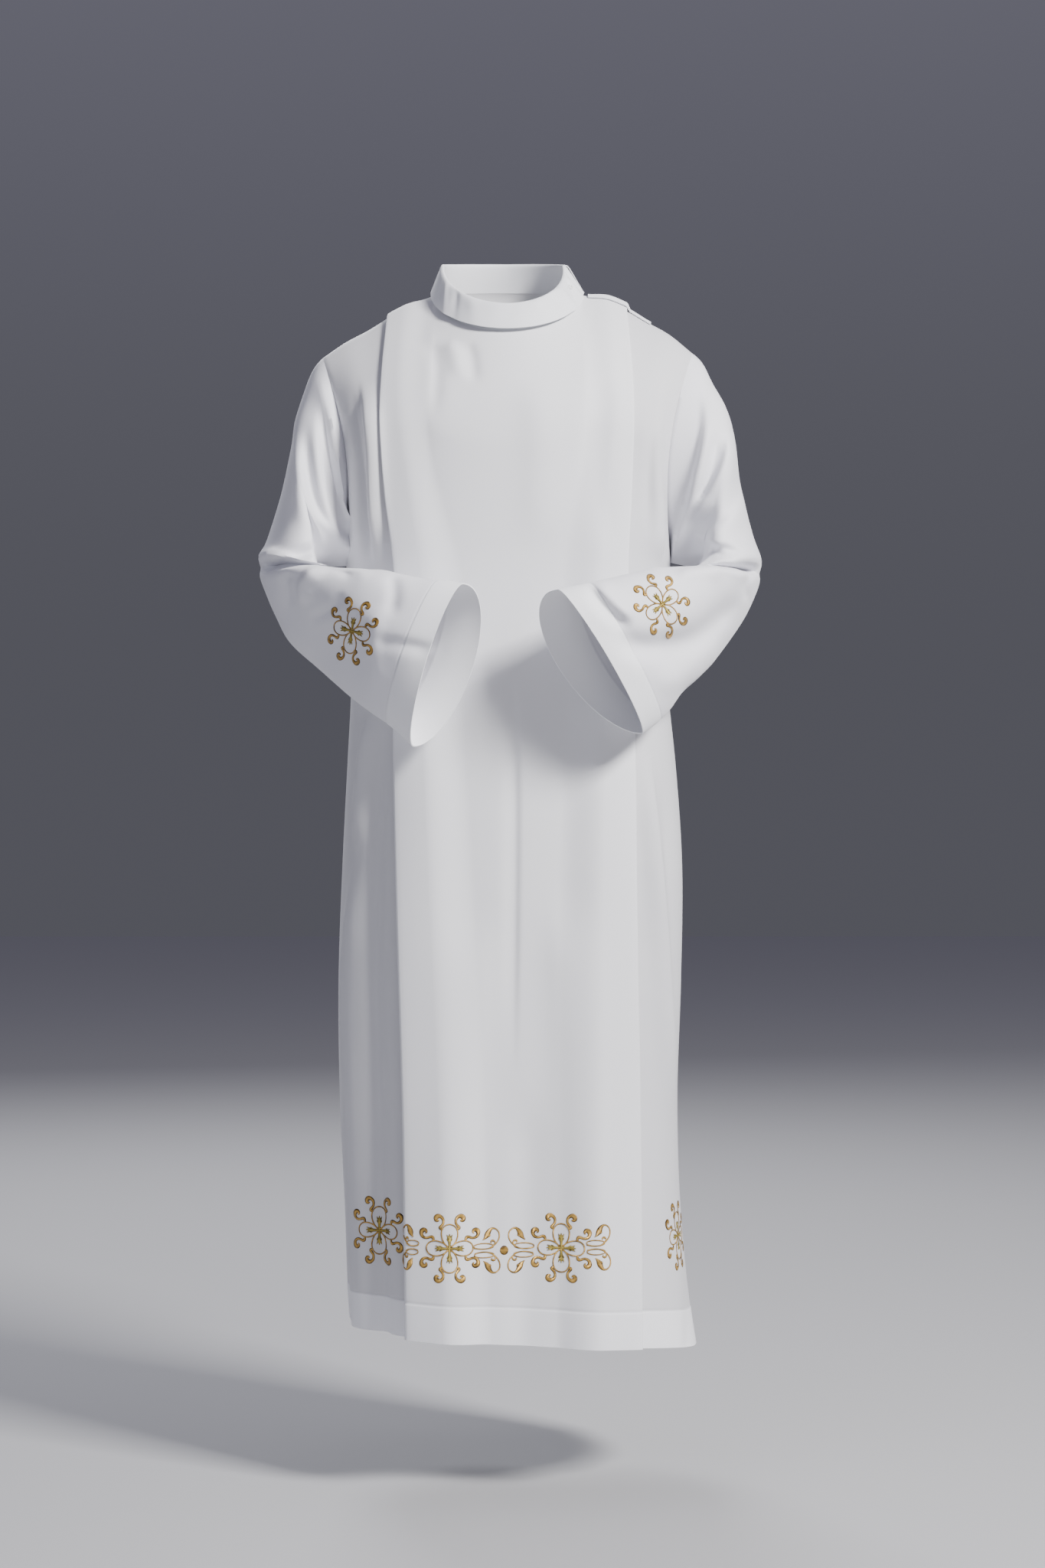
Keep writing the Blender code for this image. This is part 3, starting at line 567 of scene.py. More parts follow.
# Sleeves: wide bell sleeves, one tube of the same cloth each, set into the deep armholes and bent
# at the elbow. The cuff's hem is turned up and sewn like the skirt's.
SLEEVE_RIGHT = np.array((
    # outer x, y, z, inner x, y, z, front, its turn, back, its turn (mm)
    (241.5, 0, -77, 210, 0, -345, 68, 0, 68, 0),
    (254, 0, -94, 226, -2, -348, 70, 3, 70, 3),
    (264, 0, -118, 237, -6, -351, 73, 4, 72, 4),
    (275, 0, -155, 242, -12, -353, 76, 4, 74, 4),
    (281, 2, -194, 243, -22, -355, 78, 2, 75, 4),
    (295, 6, -255, 241, -40, -356, 80, 0, 74, 4),
    (314, 10, -315, 236, -62, -357, 82, 0, 72, 4),
    (325.5, 14, -340, 229, -85, -358, 84, 0, 70, 4),
    (324, 10, -362, 220, -108, -360, 85, 0, 66, 4),
    (314, 0, -388, 207, -130, -362, 86, 2, 62, 4),
    (300, -15, -418, 191, -150, -364, 82, 3, 50, 3),
    (280, -36, -452, 172, -168, -366, 80, 4, 44, 1),
    (238, -86, -489, 152, -184, -368, 74, 5, 38, -4),
    (197, -135, -524, 130, -200, -374, 66, 7, 33, -10),
    (169, -168, -545, 104, -215, -380, 60, 9, 30, -20),
    (141, -190, -564, 77, -230, -384, 52, 12, 30, -31),
    (115, -200, -587.5, 53, -240, -388, 48, 15, 33, -42),
)) / 1000
SLEEVE_LEFT = np.array((
    # outer x, y, z, inner x, y, z, front, its turn, back, its turn (mm)
    (241.5, 0, -71, 212, 0, -345, 68, 0, 68, 0),
    (255, 0, -86, 228, -2, -348, 70, 3, 70, 3),
    (267, 0, -110, 239, -6, -351, 73, 4, 72, 4),
    (283, 0, -140, 245, -12, -353, 76, 4, 74, 4),
    (295, 2, -180, 247, -22, -355, 78, 2, 75, 4),
    (304, 6, -245, 246, -40, -356, 80, 0, 74, 4),
    (319, 10, -304, 242, -62, -357, 82, 0, 72, 4),
    (332, 14, -346, 236, -85, -358, 84, 0, 70, 4),
    (330, 10, -368, 228, -108, -359, 85, 0, 66, 4),
    (322, 0, -390, 215, -128, -360, 86, 2, 62, 4),
    (304, -20, -424, 198, -150, -362, 83, 3, 50, 3),
    (270, -60, -470, 181, -170, -364, 78, 4, 43, 1),
    (245, -90, -496, 161, -186, -370, 72, 5, 38, -6),
    (222, -116, -517, 140, -201, -376, 66, 6, 33, -14),
    (204, -140, -541, 118, -215, -382, 60, 7, 30, -26),
    (186, -162, -558, 92, -230, -389, 52, 9, 30, -40),
    (168, -180, -571, 63, -240, -396, 46, 11, 34, -54),
)) / 1000
# Broad folds of the sleeve's section, as in its solid
SLEEVE_FOLDS = (
    # section  angle  along  round  height
    (6.8, 78.0, 0.45, 46.0, 0.010),
    (7.5, 74.0, 0.30, 54.0, -0.024),
    (8.2, 84.0, 0.50, 44.0, 0.005),
    (11.5, 62.0, 2.40, 16.0, -0.004),
    (12.5, 100.0, 2.60, 17.0, 0.004),
    (5.0, 285.0, 3.00, 16.0, -0.006),
    (7.6, 320.0, 1.20, 30.0, -0.007),
)
# Creases as seen from the front, like those of the body
SLEEVE_RIGHT_CREASES = (
    # width on each side, height, then x, z along the line (mm)
    (5, 16, 14, -235, -89, -229, -131, -217, -186, -205, -238, -196, -273, -184, -317, -169, -364),
    (5, 14, 12, -251, -143, -245, -200, -238, -257, -225, -303, -209, -324, -188, -342, -170, -363),
    (6, 7, -7, -239, -123, -230, -201, -219, -260, -201, -315),
    (6, 17, 9, -272, -178, -264, -250, -248, -291, -223, -318),
    (6, 6, -4, -258, -162, -253, -230, -244, -279, -225, -308),
    (5, 12, -11, -322, -361, -300, -355, -279, -349, -256, -340, -227, -336),
    (17, 5, 6, -318, -348, -294, -338, -271, -328, -250, -323, -225, -323),
    (4, 10, 6, -228, -345, -209, -350, -188, -363, -165, -376),
    (13, 5, 8, -234, -357, -258, -385, -253, -412),
    (7, 9, -7, -274, -364, -280, -383, -270, -412),
    (4, 6, -5, -233, -363, -212, -365, -189, -378),
    (9, 9, -5, -142, -372, -138, -400, -143, -433),
    (7, 10, -4, -166, -458, -126, -463, -81, -473),
    (7, 8, -4, -253, -427, -220, -417, -200, -395),
    (18, 16, -7, -298, -391, -258, -451, -201, -508),
    (12, 14, 5, -153, -413, -166, -470, -153, -526),
)
SLEEVE_LEFT_CREASES = (
    # width on each side, height, then x, z along the line (mm)
    (16, 5, 14, 257, -116, 255, -186, 242, -247, 231, -286, 212, -329, 197, -360),
    (15, 5, 10, 290, -174, 278, -227, 257, -266, 239, -299),
    (7, 7, -8, 272, -174, 259, -240, 242, -283),
    (14, 8, 6, 315, -221, 305, -269, 275, -308, 243, -322),
    (17, 5, 7, 238, -303, 262, -323, 278, -335, 319, -348),
    (5, 12, -11, 195, -364, 237, -349, 266, -337, 288, -340, 321, -355),
    (5, 7, -7, 317, -360, 306, -381, 315, -406),
    (17, 15, -15, 315, -386, 274, -424, 227, -455, 162, -464, 122, -434),
    (17, 18, 8, 292, -460, 235, -498, 172, -510),
    (11, 6, 7, 104, -380, 135, -415, 161, -435),
    (6, 9, -5, 95, -388, 125, -424, 153, -447),
    (6, 11, 7, 207, -375, 243, -364, 280, -371),
)
# Places in the front view where the cloth is drawn aside
SLEEVE_RIGHT_PULLS = np.array((
    # x, z, reach in x and z, shift in x, y, z (mm)
    (-218, -334, 32, 55, 34, -14, -4),
)) / 1000
SLEEVE_LEFT_PULLS = np.array((
    # x, z, reach in x and z, shift in x, y, z (mm)
    (210, -345, 26, 34, -12, -6, -3),
    (216, -280, 24, 30, 8, 0, 0),
)) / 1000
SLEEVE_RINGS = 132
CUFF_RINGS = 14
CUFF_GAP = 0.16          # sections left clear on each side of the cuff's sewing
CUFF_SEWN = np.array((-0.10, -0.05, -0.015, 0.015, 0.05, 0.10))
CUFF_DEPTH = 0.040
SET_IN = 3.5             # sections over which the armhole's own outline fades out
FIRST_CREASE = 0.8       # sections over which creases start at the armhole
FRONT_EDGE = 1.8         # how sharply creases fade where the sleeve turns away from the view
BACK_EDGE = 1.6
FAR_SIDE = 0.5           # share of the creases' height on the far side
TOWARD_VIEW = 0.75       # share by which creases rise to the front instead of off the surface


def sleeve_row(rows, position):
    """Smooth value of a sleeve's table between its rows."""
    keyed = [(i, *row) for i, row in enumerate(rows)]
    return np.array([table_value(keyed, column + 1, position) for column in range(len(rows[0]))])


def sleeve_positions(rows):
    """Ring places along a sleeve, evenly spread and closer together where the cuff is sewn."""
    last = len(rows) - 1
    fine = np.linspace(0.0, last, 400)
    values = np.array([sleeve_row(rows, position) for position in fine])
    outer, inner = values[:, 0:3], values[:, 3:6]
    middle = (outer + inner) / 2
    front = middle - values[:, 6:7] * (0.0, 1.0, 0.0)
    lengths = [np.linalg.norm(np.diff(line, axis=0), axis=1) for line in (outer, middle, front)]
    steps = np.maximum(lengths[0], lengths[2])
    run = np.concatenate(((0.0,), np.cumsum(steps)))
    depth = np.concatenate(((0.0,), np.cumsum(lengths[1])))
    hem = float(np.interp(depth[-1] - CUFF_DEPTH, depth, fine))
    even = np.interp(np.linspace(0.0, np.interp(hem - CUFF_GAP, fine, run), SLEEVE_RINGS), run, fine)
    cuff = np.linspace(hem + CUFF_GAP, last, CUFF_RINGS)
    return np.concatenate((even, hem + CUFF_SEWN, cuff)), hem


def sleeve_surface(rows, sign, creases, pulls):
    """Mid-surface of a sleeve that starts on the armhole of both panels."""
    column = -1 if sign > 0 else 0
    armhole = np.concatenate((front_grid[:UPPER_ROWS + 1, column],
                              back_grid[UPPER_ROWS - 1:0:-1, column]))
    count = len(armhole)
    angle = 2 * math.pi * np.arange(count) / count
    swing = np.sin(angle)[:, None]
    degrees = np.degrees(angle)
    positions, hem = sleeve_positions(rows)
    rings = []
    for position in positions:
        values = sleeve_row(rows, position)
        outer, inner = values[0:3], values[3:6]
        front, front_turn, back, back_turn = values[6:10]
        middle, half = (outer + inner) / 2, (outer - inner) / 2
        front_bow = swing * np.array((front_turn, -front, 0.0))
        back_bow = swing * np.array((-back_turn, -back, 0.0))
        ring = middle + half * np.cos(angle)[:, None] + np.where(swing >= 0, front_bow, back_bow)
        away = ring - middle
        away /= np.linalg.norm(away, axis=1, keepdims=True)
        fold = np.zeros(count)
        for section, centre, along, around, height in SLEEVE_FOLDS:
            turn = (degrees - centre + 180.0) % 360.0 - 180.0
            fold += height * np.exp(-((position - section) / along) ** 2 - (turn / around) ** 2)
        rings.append((ring + away * fold[:, None]) * np.array((sign, 1.0, 1.0)))
    rings = np.array(rings)
    hold = 1.0 - smooth_step(positions / SET_IN)
    rings = rings + (armhole - rings[0]) * hold[:, None, None]
    normals = surface_normals(rings, closed=True) * -sign
    start = smooth_step(positions / FIRST_CREASE)[:, None]
    facing = smooth_step(-normals[..., 1] * FRONT_EDGE) * start
    behind = smooth_step(normals[..., 1] * BACK_EDGE) * start
    for x, z, across, upright, *shift in pulls:
        gap = ((rings[..., 0] - x) / across) ** 2 + ((rings[..., 2] - z) / upright) ** 2
        rings = rings + (np.exp(-gap) * facing)[..., None] * np.array(shift)
    relief = crease_relief(rings[..., 0], rings[..., 2], creases)
    toward = normals + (np.array((0.0, -1.0, 0.0)) - normals) * (TOWARD_VIEW * facing)[..., None]
    rings = rings + toward * (relief * (facing + FAR_SIDE * behind))[..., None]
    return rings, surface_normals(rings, closed=True) * -sign, positions, hem


right_grid, right_normals, right_places, right_hem = sleeve_surface(
    SLEEVE_RIGHT, -1.0, SLEEVE_RIGHT_CREASES, SLEEVE_RIGHT_PULLS)
left_grid, left_normals, left_places, left_hem = sleeve_surface(
    SLEEVE_LEFT, 1.0, SLEEVE_LEFT_CREASES, SLEEVE_LEFT_PULLS)

# Panels that meet at a seam share one direction there, so that the cloth looks joined.
half = UPPER_ROWS
for sleeve_normals, column in ((right_normals, 0), (left_normals, -1)):
    ring = sleeve_normals[0]
    share_edges(front_normals[1:half, column], ring[1:half])
    share_edges(back_normals[half - 1:0:-1, column], ring[half + 1:])
    share_edges(front_normals[0:1, column], back_normals[0:1, column], ring[0:1])
    share_edges(front_normals[half:half + 1, column], back_normals[half:half + 1, column],
                ring[half:half + 1])
    share_edges(front_normals[half + 1:, column], back_normals[half + 1:, column])
neck_corner = SIDE_COLUMNS + FOLD_COLUMNS + YOKE_COLUMNS    # columns from the side to the neck
share_edges(front_normals[0, :neck_corner], back_normals[0, :neck_corner])
share_edges(front_normals[0, -neck_corner:], back_normals[0, -neck_corner:])

# Every seam draws its two edges a little into the cloth, and the rows beside them less.
SEAM_DIP = 0.0011
BESIDE_SEAM = 0.25
for grid, normals in ((front_grid, front_normals), (back_grid, back_normals)):
    grid[1:, [0, -1]] -= normals[1:, [0, -1]] * SEAM_DIP
    grid[1:, [1, -2]] -= normals[1:, [1, -2]] * SEAM_DIP * BESIDE_SEAM
    grid[0] -= normals[0] * SEAM_DIP
for grid, normals in ((right_grid, right_normals), (left_grid, left_normals)):
    grid[0] -= normals[0] * SEAM_DIP
    grid[1] -= normals[1] * SEAM_DIP * BESIDE_SEAM


PLEAT_EDGE = 12          # fold columns from its start to the pleat's edge
# share of painted light that whitens the panels' middle between the pleats
MIDDLE_PAINTED_LIGHT = 0.62
SEAM_GROOVE = 0.0005


def hem_marks(places, hem, depth):
    """Share of the turned-up hem at each row, and the wall's thickness there."""
    marks = smooth_step((places - hem) / depth)
    return marks[:, None], (CLOTH + (HEM_CLOTH - CLOTH) * marks)[:, None]


def middle_painted_light(columns):
    """Painted light: a whiter tone on the middle, between the pleats, over the painted shade of the
    side panels.
    """
    column = np.arange(columns)
    inner = np.minimum(column, columns - 1 - column) - SIDE_COLUMNS - PLEAT_EDGE
    return MIDDLE_PAINTED_LIGHT * smooth_step(inner / 6.0)[None, :]


def seam_groove(grid, normals, places, hem, depth):
    """Press a line of sewing a little way into the cloth."""
    dip = SEAM_GROOVE * np.exp(-((places - hem) / depth) ** 2)
    return grid - normals * dip[:, None, None]


# the body's darker tint is painted shade on the side panels, which turn away from the key light;
# painted light whitens the middle
body_painted_shade = cloth_finish("body_suiting_painted_shade", (0.66, 0.66, 0.685), (0.63, 0.63, 0.66))
sleeve_white = cloth_finish("sleeve_suiting", (0.81, 0.81, 0.85), (0.78, 0.78, 0.83))
panel_band, panel_thickness = hem_marks(levels, hem_level, 0.002)
panels = (("front", front_grid, front_normals), ("back", back_grid, back_normals))
sleeves = (("sleeve_right", right_grid, right_normals, right_places, right_hem),
           ("sleeve_left", left_grid, left_normals, left_places, left_hem))
for name, grid, normals in panels:
    grid[:] = seam_groove(grid, normals, levels, hem_level, 0.0012)
    # hem mark together with the painted light of the middle between the pleats
    whiter = np.maximum(panel_band, middle_painted_light(grid.shape[1]))
    piece = wall_mesh(name + "_cloth", grid, normals, panel_thickness, band=whiter)
    piece.data.materials.append(body_painted_shade)
    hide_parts(name)
    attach(piece, "root")

for name, grid, normals, places, hem in sleeves:
    band, thickness = hem_marks(places, hem, 0.05)
    grid[:] = seam_groove(grid, normals, places, hem, 0.03)
    piece = wall_mesh(name + "_cloth", grid, normals, thickness, closed=True, band=band)
    piece.data.materials.append(sleeve_white)
    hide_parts(name)
    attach(piece, "root")


# Collar: one strip of faced cloth folded over into a stand and a fall, slit on the shoulder at +x.
# The faced cloth is stiffer than the body's and shows a few short wrinkles near its ends.
COLLAR = (
    # angle, height, lean
    (-180.0, 0.037, 0.009), (-90.0, 0.038, 0.010), (0.0, 0.036, 0.010), (45.0, 0.038, 0.014),
    (90.0, 0.038, 0.022), (91.0, 0.037, 0.018), (180.0, 0.037, 0.009),
)
COLLAR_PROFILE = (
    # up, out
    (0.00, 0.0000), (0.45, -0.0005), (0.90, 0.0000), (1.00, 0.0024), (0.91, 0.0050),
    (0.50, 0.0066), (0.06, 0.0084),
)
COLLAR_SLIT = 0.0012
COLLAR_CLOTH = 0.0012
COLLAR_COLUMNS = 241
COLLAR_ROWS = 31
FOLD_PLACE = 3.0         # row of the profile at which the stand folds into the fall
EDGE_PLACE = 6.2         # and below which its wrinkles weaken towards its sewn edge
COLLAR_WRINKLES = (
    # place, slant, width, height
    (0.020, 0.016, 0.0070, -0.0022), (0.042, 0.026, 0.0065, 0.0032),
    (0.066, -0.030, 0.0080, -0.0026), (0.098, 0.036, 0.0100, 0.0024),
    (0.135, 0.044, 0.0110, -0.0018), (0.190, 0.030, 0.0170, 0.0014),
    (0.270, -0.020, 0.0240, -0.0012), (0.345, 0.016, 0.0200, 0.0016),
    (0.398, 0.015, 0.0120, -0.0020), (0.436, 0.030, 0.0110, 0.0020),
    (0.560, -0.030, 0.0180, -0.0014), (0.700, 0.020, 0.0200, 0.0016),
    (0.860, 0.024, 0.0140, -0.0016), (0.935, -0.020, 0.0110, 0.0022),
)


def collar_surface():
    """Mid-surface of the collar, from its end in front of the slit round to its end behind it."""
    corner = neck_corner - 1
    last = front_grid.shape[1] - 1 - corner
    neckline = np.concatenate((front_grid[0, corner:last + 1][::-1], back_grid[0, corner + 1:last + 1]))
    run = np.cumsum(np.linalg.norm(np.diff(neckline, axis=0, prepend=neckline[:1]), axis=1))
    spread = np.linspace(0.0, run[-1], COLLAR_COLUMNS)
    around = np.stack([np.interp(spread, run, neckline[:, axis]) for axis in range(3)], -1)
    places = np.linspace(0, len(COLLAR_PROFILE) - 1, COLLAR_ROWS)
    up, out = (table_value([(i, *row) for i, row in enumerate(COLLAR_PROFILE)], column, places)
               for column in (1, 2))
    direction = np.degrees(np.arctan2(around[:, 0], -around[:, 1]))
    late = np.arange(len(around)) > len(around) // 2
    direction = np.where(late & (direction > 0), np.maximum(direction, 91.0), direction)
    angles, heights, leans = np.array(COLLAR).T
    height = np.interp(direction, angles, heights)[:, None]
    lean = np.interp(direction, angles, leans)[:, None]
    outward = around * np.array((1.0, 1.0, 0.0))
    outward /= np.linalg.norm(outward, axis=1, keepdims=True)
    share = np.linspace(0.0, 1.0, len(around))[:, None]
    ripple = np.zeros((len(around), len(up)))
    for place, slant, width, depth in COLLAR_WRINKLES:
        ripple += depth * np.exp(-((share - place - slant * (up - 0.5)) / width) ** 2)
    fall = smooth_step((places - FOLD_PLACE) / 1.5)
    ripple = ripple * fall * (0.4 + 0.6 * smooth_step((EDGE_PLACE - places) / 2.0))
    reach = out + ripple - lean * up
    grid = around[:, None, :] + outward[:, None, :] * reach[..., None]
    grid[..., 2] += height * up
    for end, inside in ((0, 1), (-1, -2)):
        pull = grid[inside] - grid[end]
        grid[end] += pull / np.linalg.norm(pull, axis=1, keepdims=True) * COLLAR_SLIT / 2
    return grid


collar_grid = collar_surface()
collar_normals = -surface_normals(collar_grid)
collar = wall_mesh("collar_cloth", collar_grid, collar_normals, COLLAR_CLOTH)
collar_white = cloth_finish("collar_facing", (0.83, 0.84, 0.87), (0.80, 0.81, 0.85), roughness=0.58)
collar.data.materials.append(collar_white)
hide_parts("collar")
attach(collar, "root")


# Underlap: a strip of the same cloth sewn along the back of the open shoulder, over which the
# front's shoulder edge closes. It lies on the shoulder and on the pleat that crosses it.
PLACKET = dict(inner=0.1045, outer=0.186, front=0.014, back=0.085, lift=0.0019, step=0.0045)
RIDGE_MITRE = 1.25
PLACKET_COLUMNS = 90
PLACKET_ROWS = 22
TOP_LAYER = 24           # first fold column of the pleat's top layer


def placket_surface():
    """Mid-surface of the underlap, laid over the shoulder."""
    angles, heights = pleat_half(0.0, -1, 1.0)
    sweep = np.radians(np.linspace(20.0, 76.0, 200))
    places = body_surface(sweep, 0.0, -1)[:, 0]
    over = SIDE_COLUMNS + TOP_LAYER
    upper = slice(len(angles) - 1, over - 1, -1)
    beside = slice(SIDE_COLUMNS, None, -1)
    foot = np.interp(PLEATS[0][2] + PLACKET["step"], places, sweep)
    path = np.concatenate((angles[upper], (foot,), angles[beside]))
    rise = np.concatenate((heights[upper], (0.0,), heights[beside]))
    low, high = (np.interp(PLACKET[end], places, sweep) for end in ("inner", "outer"))
    spread = np.linspace(low, high, PLACKET_COLUMNS)
    height = np.interp(spread, path, rise)
    soft = np.hanning(7)[1:-1] / np.hanning(7).sum()
    height = np.convolve(np.pad(height, 2, mode="edge"), soft, mode="valid") + PLACKET["lift"]
    rows = []
    for side, v, mitre in ((-1, PLACKET["front"], 1.0), (-1, 0.0, RIDGE_MITRE),
                           (1, PLACKET["back"] / 2, 1.0), (1, PLACKET["back"], 1.0)):
        level = np.full_like(spread, v)
        rows.append(body_surface(spread, level, side)
                    + body_outward(spread, level, side) * (height * mitre)[:, None])
    rows = np.array(rows)
    at = np.linspace(0.0, len(rows) - 1.0, PLACKET_ROWS)
    first = np.minimum(at.astype(int), len(rows) - 2)
    share = (at - first)[:, None, None]
    return row_smooth(rows[first] * (1 - share) + rows[first + 1] * share, 2)


placket_grid = placket_surface()
placket_normals = -surface_normals(placket_grid)
placket = wall_mesh("shoulder_underlap", placket_grid, placket_normals, COLLAR_CLOTH)
placket.data.materials.append(collar_white)
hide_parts("shoulder_placket")
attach(placket, "root")


# Press snap: a small moulded cap with a rolled rim and a dimple, clenched through the end of the
# collar's fall. Its other half sits under the collar's end and doesn't show.
SNAP_PROFILE = (
    # radius, height
    (0.0000, 0.0009), (0.0009, 0.0009), (0.0013, 0.0012), (0.0017, 0.0018), (0.0023, 0.0019),
    (0.0029, 0.0017), (0.0034, 0.0011), (0.0036, 0.0005), (0.0036, 0.0001), (0.0034, 0.0000),
    (0.0000, 0.0000),
)


def cloth_tree(piece):
    """Search tree of a piece's skins."""
    return BVHTree.FromPolygons([v.co for v in piece.data.vertices],
                                [tuple(f.vertices) for f in piece.data.polygons])


low_corner, high_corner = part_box("collar_snap")
snap_middle = (low_corner + high_corner) / 2
SNAP_LIFT = 0.0001
seat, facing, _, _ = cloth_tree(collar).find_nearest(snap_middle)
snap_work = bmesh.new()
profile = [snap_work.verts.new((radius, 0.0, height)) for radius, height in SNAP_PROFILE]
profile_edges = [snap_work.edges.new(pair) for pair in zip(profile, profile[1:])]
bmesh.ops.spin(snap_work, geom=profile + profile_edges, cent=(0.0, 0.0, 0.0), axis=(0.0, 0.0, 1.0),
               angle=2 * math.pi, steps=40, use_merge=True)
bmesh.ops.remove_doubles(snap_work, verts=snap_work.verts, dist=1e-5)
bmesh.ops.dissolve_degenerate(snap_work, edges=snap_work.edges, dist=1e-6)
bmesh.ops.recalc_face_normals(snap_work, faces=snap_work.faces)
turn = Vector((0.0, 0.0, 1.0)).rotation_difference(facing).to_matrix()
bmesh.ops.rotate(snap_work, verts=snap_work.verts, matrix=turn)
bmesh.ops.translate(snap_work, verts=snap_work.verts, vec=seat + facing * SNAP_LIFT)
snap_mesh = bpy.data.meshes.new("snap_cap")
snap_work.to_mesh(snap_mesh)
snap_work.free()
snap_mesh.shade_smooth()
snap_cap = add_object("snap_cap", snap_mesh)
snap_plastic, snap_shader = plain_finish("snap_plastic", (0.78, 0.79, 0.80), 0.28)
snap_shader.inputs["Coat Weight"].default_value = 0.3
snap_cap.data.materials.append(snap_plastic)
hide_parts("collar_snap")
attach(snap_cap, "root")


# Sewing: lines of lockstitch in white polyester thread that hold the turned-up hems of the skirt and
# the cuffs, the pleats from the shoulder to the chest, the underlap and the edge of the collar.
STITCH_PITCH = 0.0031
STITCH_LENGTH = 0.0024
THREAD = 0.00032

thread_white, thread_shader = plain_finish("thread_polyester", (0.86, 0.87, 0.90), 0.5)
thread_shader.inputs["Sheen Weight"].default_value = 0.3


def stitch_tree():
    """Node tree that sets one stitch after another along every line of a piece."""
    tree = bpy.data.node_groups.new("lockstitch", "GeometryNodeTree")
    sockets = {}
    for name, kind, value in (("Pitch", "NodeSocketFloat", STITCH_PITCH),
                              ("Length", "NodeSocketFloat", STITCH_LENGTH),
                              ("Thread", "NodeSocketFloat", THREAD)):
        socket = tree.interface.new_socket(name, in_out="INPUT", socket_type=kind)
        socket.default_value = value
        sockets[name] = socket.identifier
    lines_in = tree.interface.new_socket("Lines", in_out="INPUT", socket_type="NodeSocketGeometry")
    tree.interface.move(lines_in, 0)
    tree.interface.new_socket("Stitches", in_out="OUTPUT", socket_type="NodeSocketGeometry")
    source = add_node(tree, "NodeGroupInput").outputs
    curve = add_node(tree, "GeometryNodeMeshToCurve", {"Mesh": source["Lines"]})
    spaced = add_node(tree, "GeometryNodeResampleCurve", {
        "Curve": curve.outputs["Curve"], "Length": source["Pitch"]}, mode="LENGTH")
    tangent = add_node(tree, "GeometryNodeInputTangent")
    turn = add_node(tree, "FunctionNodeAlignRotationToVector", {
        "Vector": tangent.outputs["Tangent"]}, axis="Z")
    bead = add_node(tree, "GeometryNodeMeshUVSphere", {"Segments": 6, "Rings": 5, "Radius": 0.5})
    size = add_node(tree, "ShaderNodeCombineXYZ", {
        "X": source["Thread"], "Y": source["Thread"], "Z": source["Length"]})
    place = add_node(tree, "GeometryNodeInstanceOnPoints", {
        "Points": spaced.outputs["Curve"], "Instance": bead.outputs["Mesh"],
        "Rotation": turn.outputs["Rotation"], "Scale": size.outputs["Vector"]})
    real = add_node(tree, "GeometryNodeRealizeInstances", {"Geometry": place.outputs["Instances"]})
    coat = add_node(tree, "GeometryNodeSetMaterial", {
        "Geometry": real.outputs["Geometry"], "Material": thread_white})
    add_node(tree, "NodeGroupOutput", {"Stitches": coat.outputs["Geometry"]})
    return tree, sockets


lockstitch, stitch_sockets = stitch_tree()


def sew(name, lines):
    """Sew along lines of points and keep the stitches as one plain mesh."""
    points, edges = [], []
    for line in lines:
        start = len(points)
        points += [tuple(point) for point in line]
        edges += [(start + i, start + i + 1) for i in range(len(line) - 1)]
    guide = bpy.data.meshes.new(name + "_guide")
    guide.from_pydata(points, edges, [])
    holder = add_object(name + "_holder", guide)
    modifier = holder.modifiers.new("lockstitch", "NODES")
    modifier.node_group = lockstitch
    modifier[stitch_sockets["Pitch"]] = STITCH_PITCH
    modifier[stitch_sockets["Length"]] = STITCH_LENGTH
    modifier[stitch_sockets["Thread"]] = THREAD
    bpy.context.view_layer.update()
    depsgraph = bpy.context.evaluated_depsgraph_get()
    mesh = bpy.data.meshes.new_from_object(holder.evaluated_get(depsgraph))
    mesh.name = name
    bpy.data.objects.remove(holder)
    mesh.shade_smooth()
    stitches = add_object(name, mesh)
    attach(stitches, "root")
    return stitches


def line_on(grid, normals, row, lift):
    """Points along one row place of a grid, a little above its outer skin."""
    first = int(row)
    share = row - first
    after = min(first + 1, len(grid) - 1)
    points = grid[first] * (1 - share) + grid[after] * share
    return points + (normals[first] * (1 - share) + normals[after] * share) * lift


def row_of(places, place):
    """Row number, with its fraction, at a place along a piece."""
    return float(np.interp(place, places, np.arange(len(places))))


hem_lift = (CLOTH + HEM_CLOTH) / 4
column_right = SIDE_COLUMNS + 29         # on the top layer, beside the pleat's edge
column_left = front_grid.shape[1] - 1 - column_right
for name, grid, normals in panels:
    heights = grid[:, :, 2]
    lines = [line_on(grid, normals, row_of(levels, hem_level), hem_lift)]
    for column in (column_right, column_left):
        rows = heights[:, column] > NOTCH_Z
        lines.append(grid[rows, column] + normals[rows, column] * (CLOTH / 2))
    sew(name + "_stitches", lines)
for name, grid, normals, places, hem in sleeves:
    line = line_on(grid, normals, row_of(places, hem), hem_lift)
    sew(name + "_stitches", [np.concatenate((line, line[:1]))])
border = placket_grid + placket_normals * (COLLAR_CLOTH / 2)
sew(
    "underlap_stitches", [border[2, 3:-3], border[-3, 3:-3], border[2:-2, -4]])
collar_edge = collar_grid + collar_normals * (COLLAR_CLOTH / 2)
sew("collar_stitches", [collar_edge[5:-5, -4]])


# Embroidery: satin stitch in metallic gold thread, worked flat on the cloth before it was made up.
# Each motif is a small cross inside four petals with eight volutes. Scrolls and dots stand between
# the motifs on the skirt, and one motif is on the front of each sleeve.

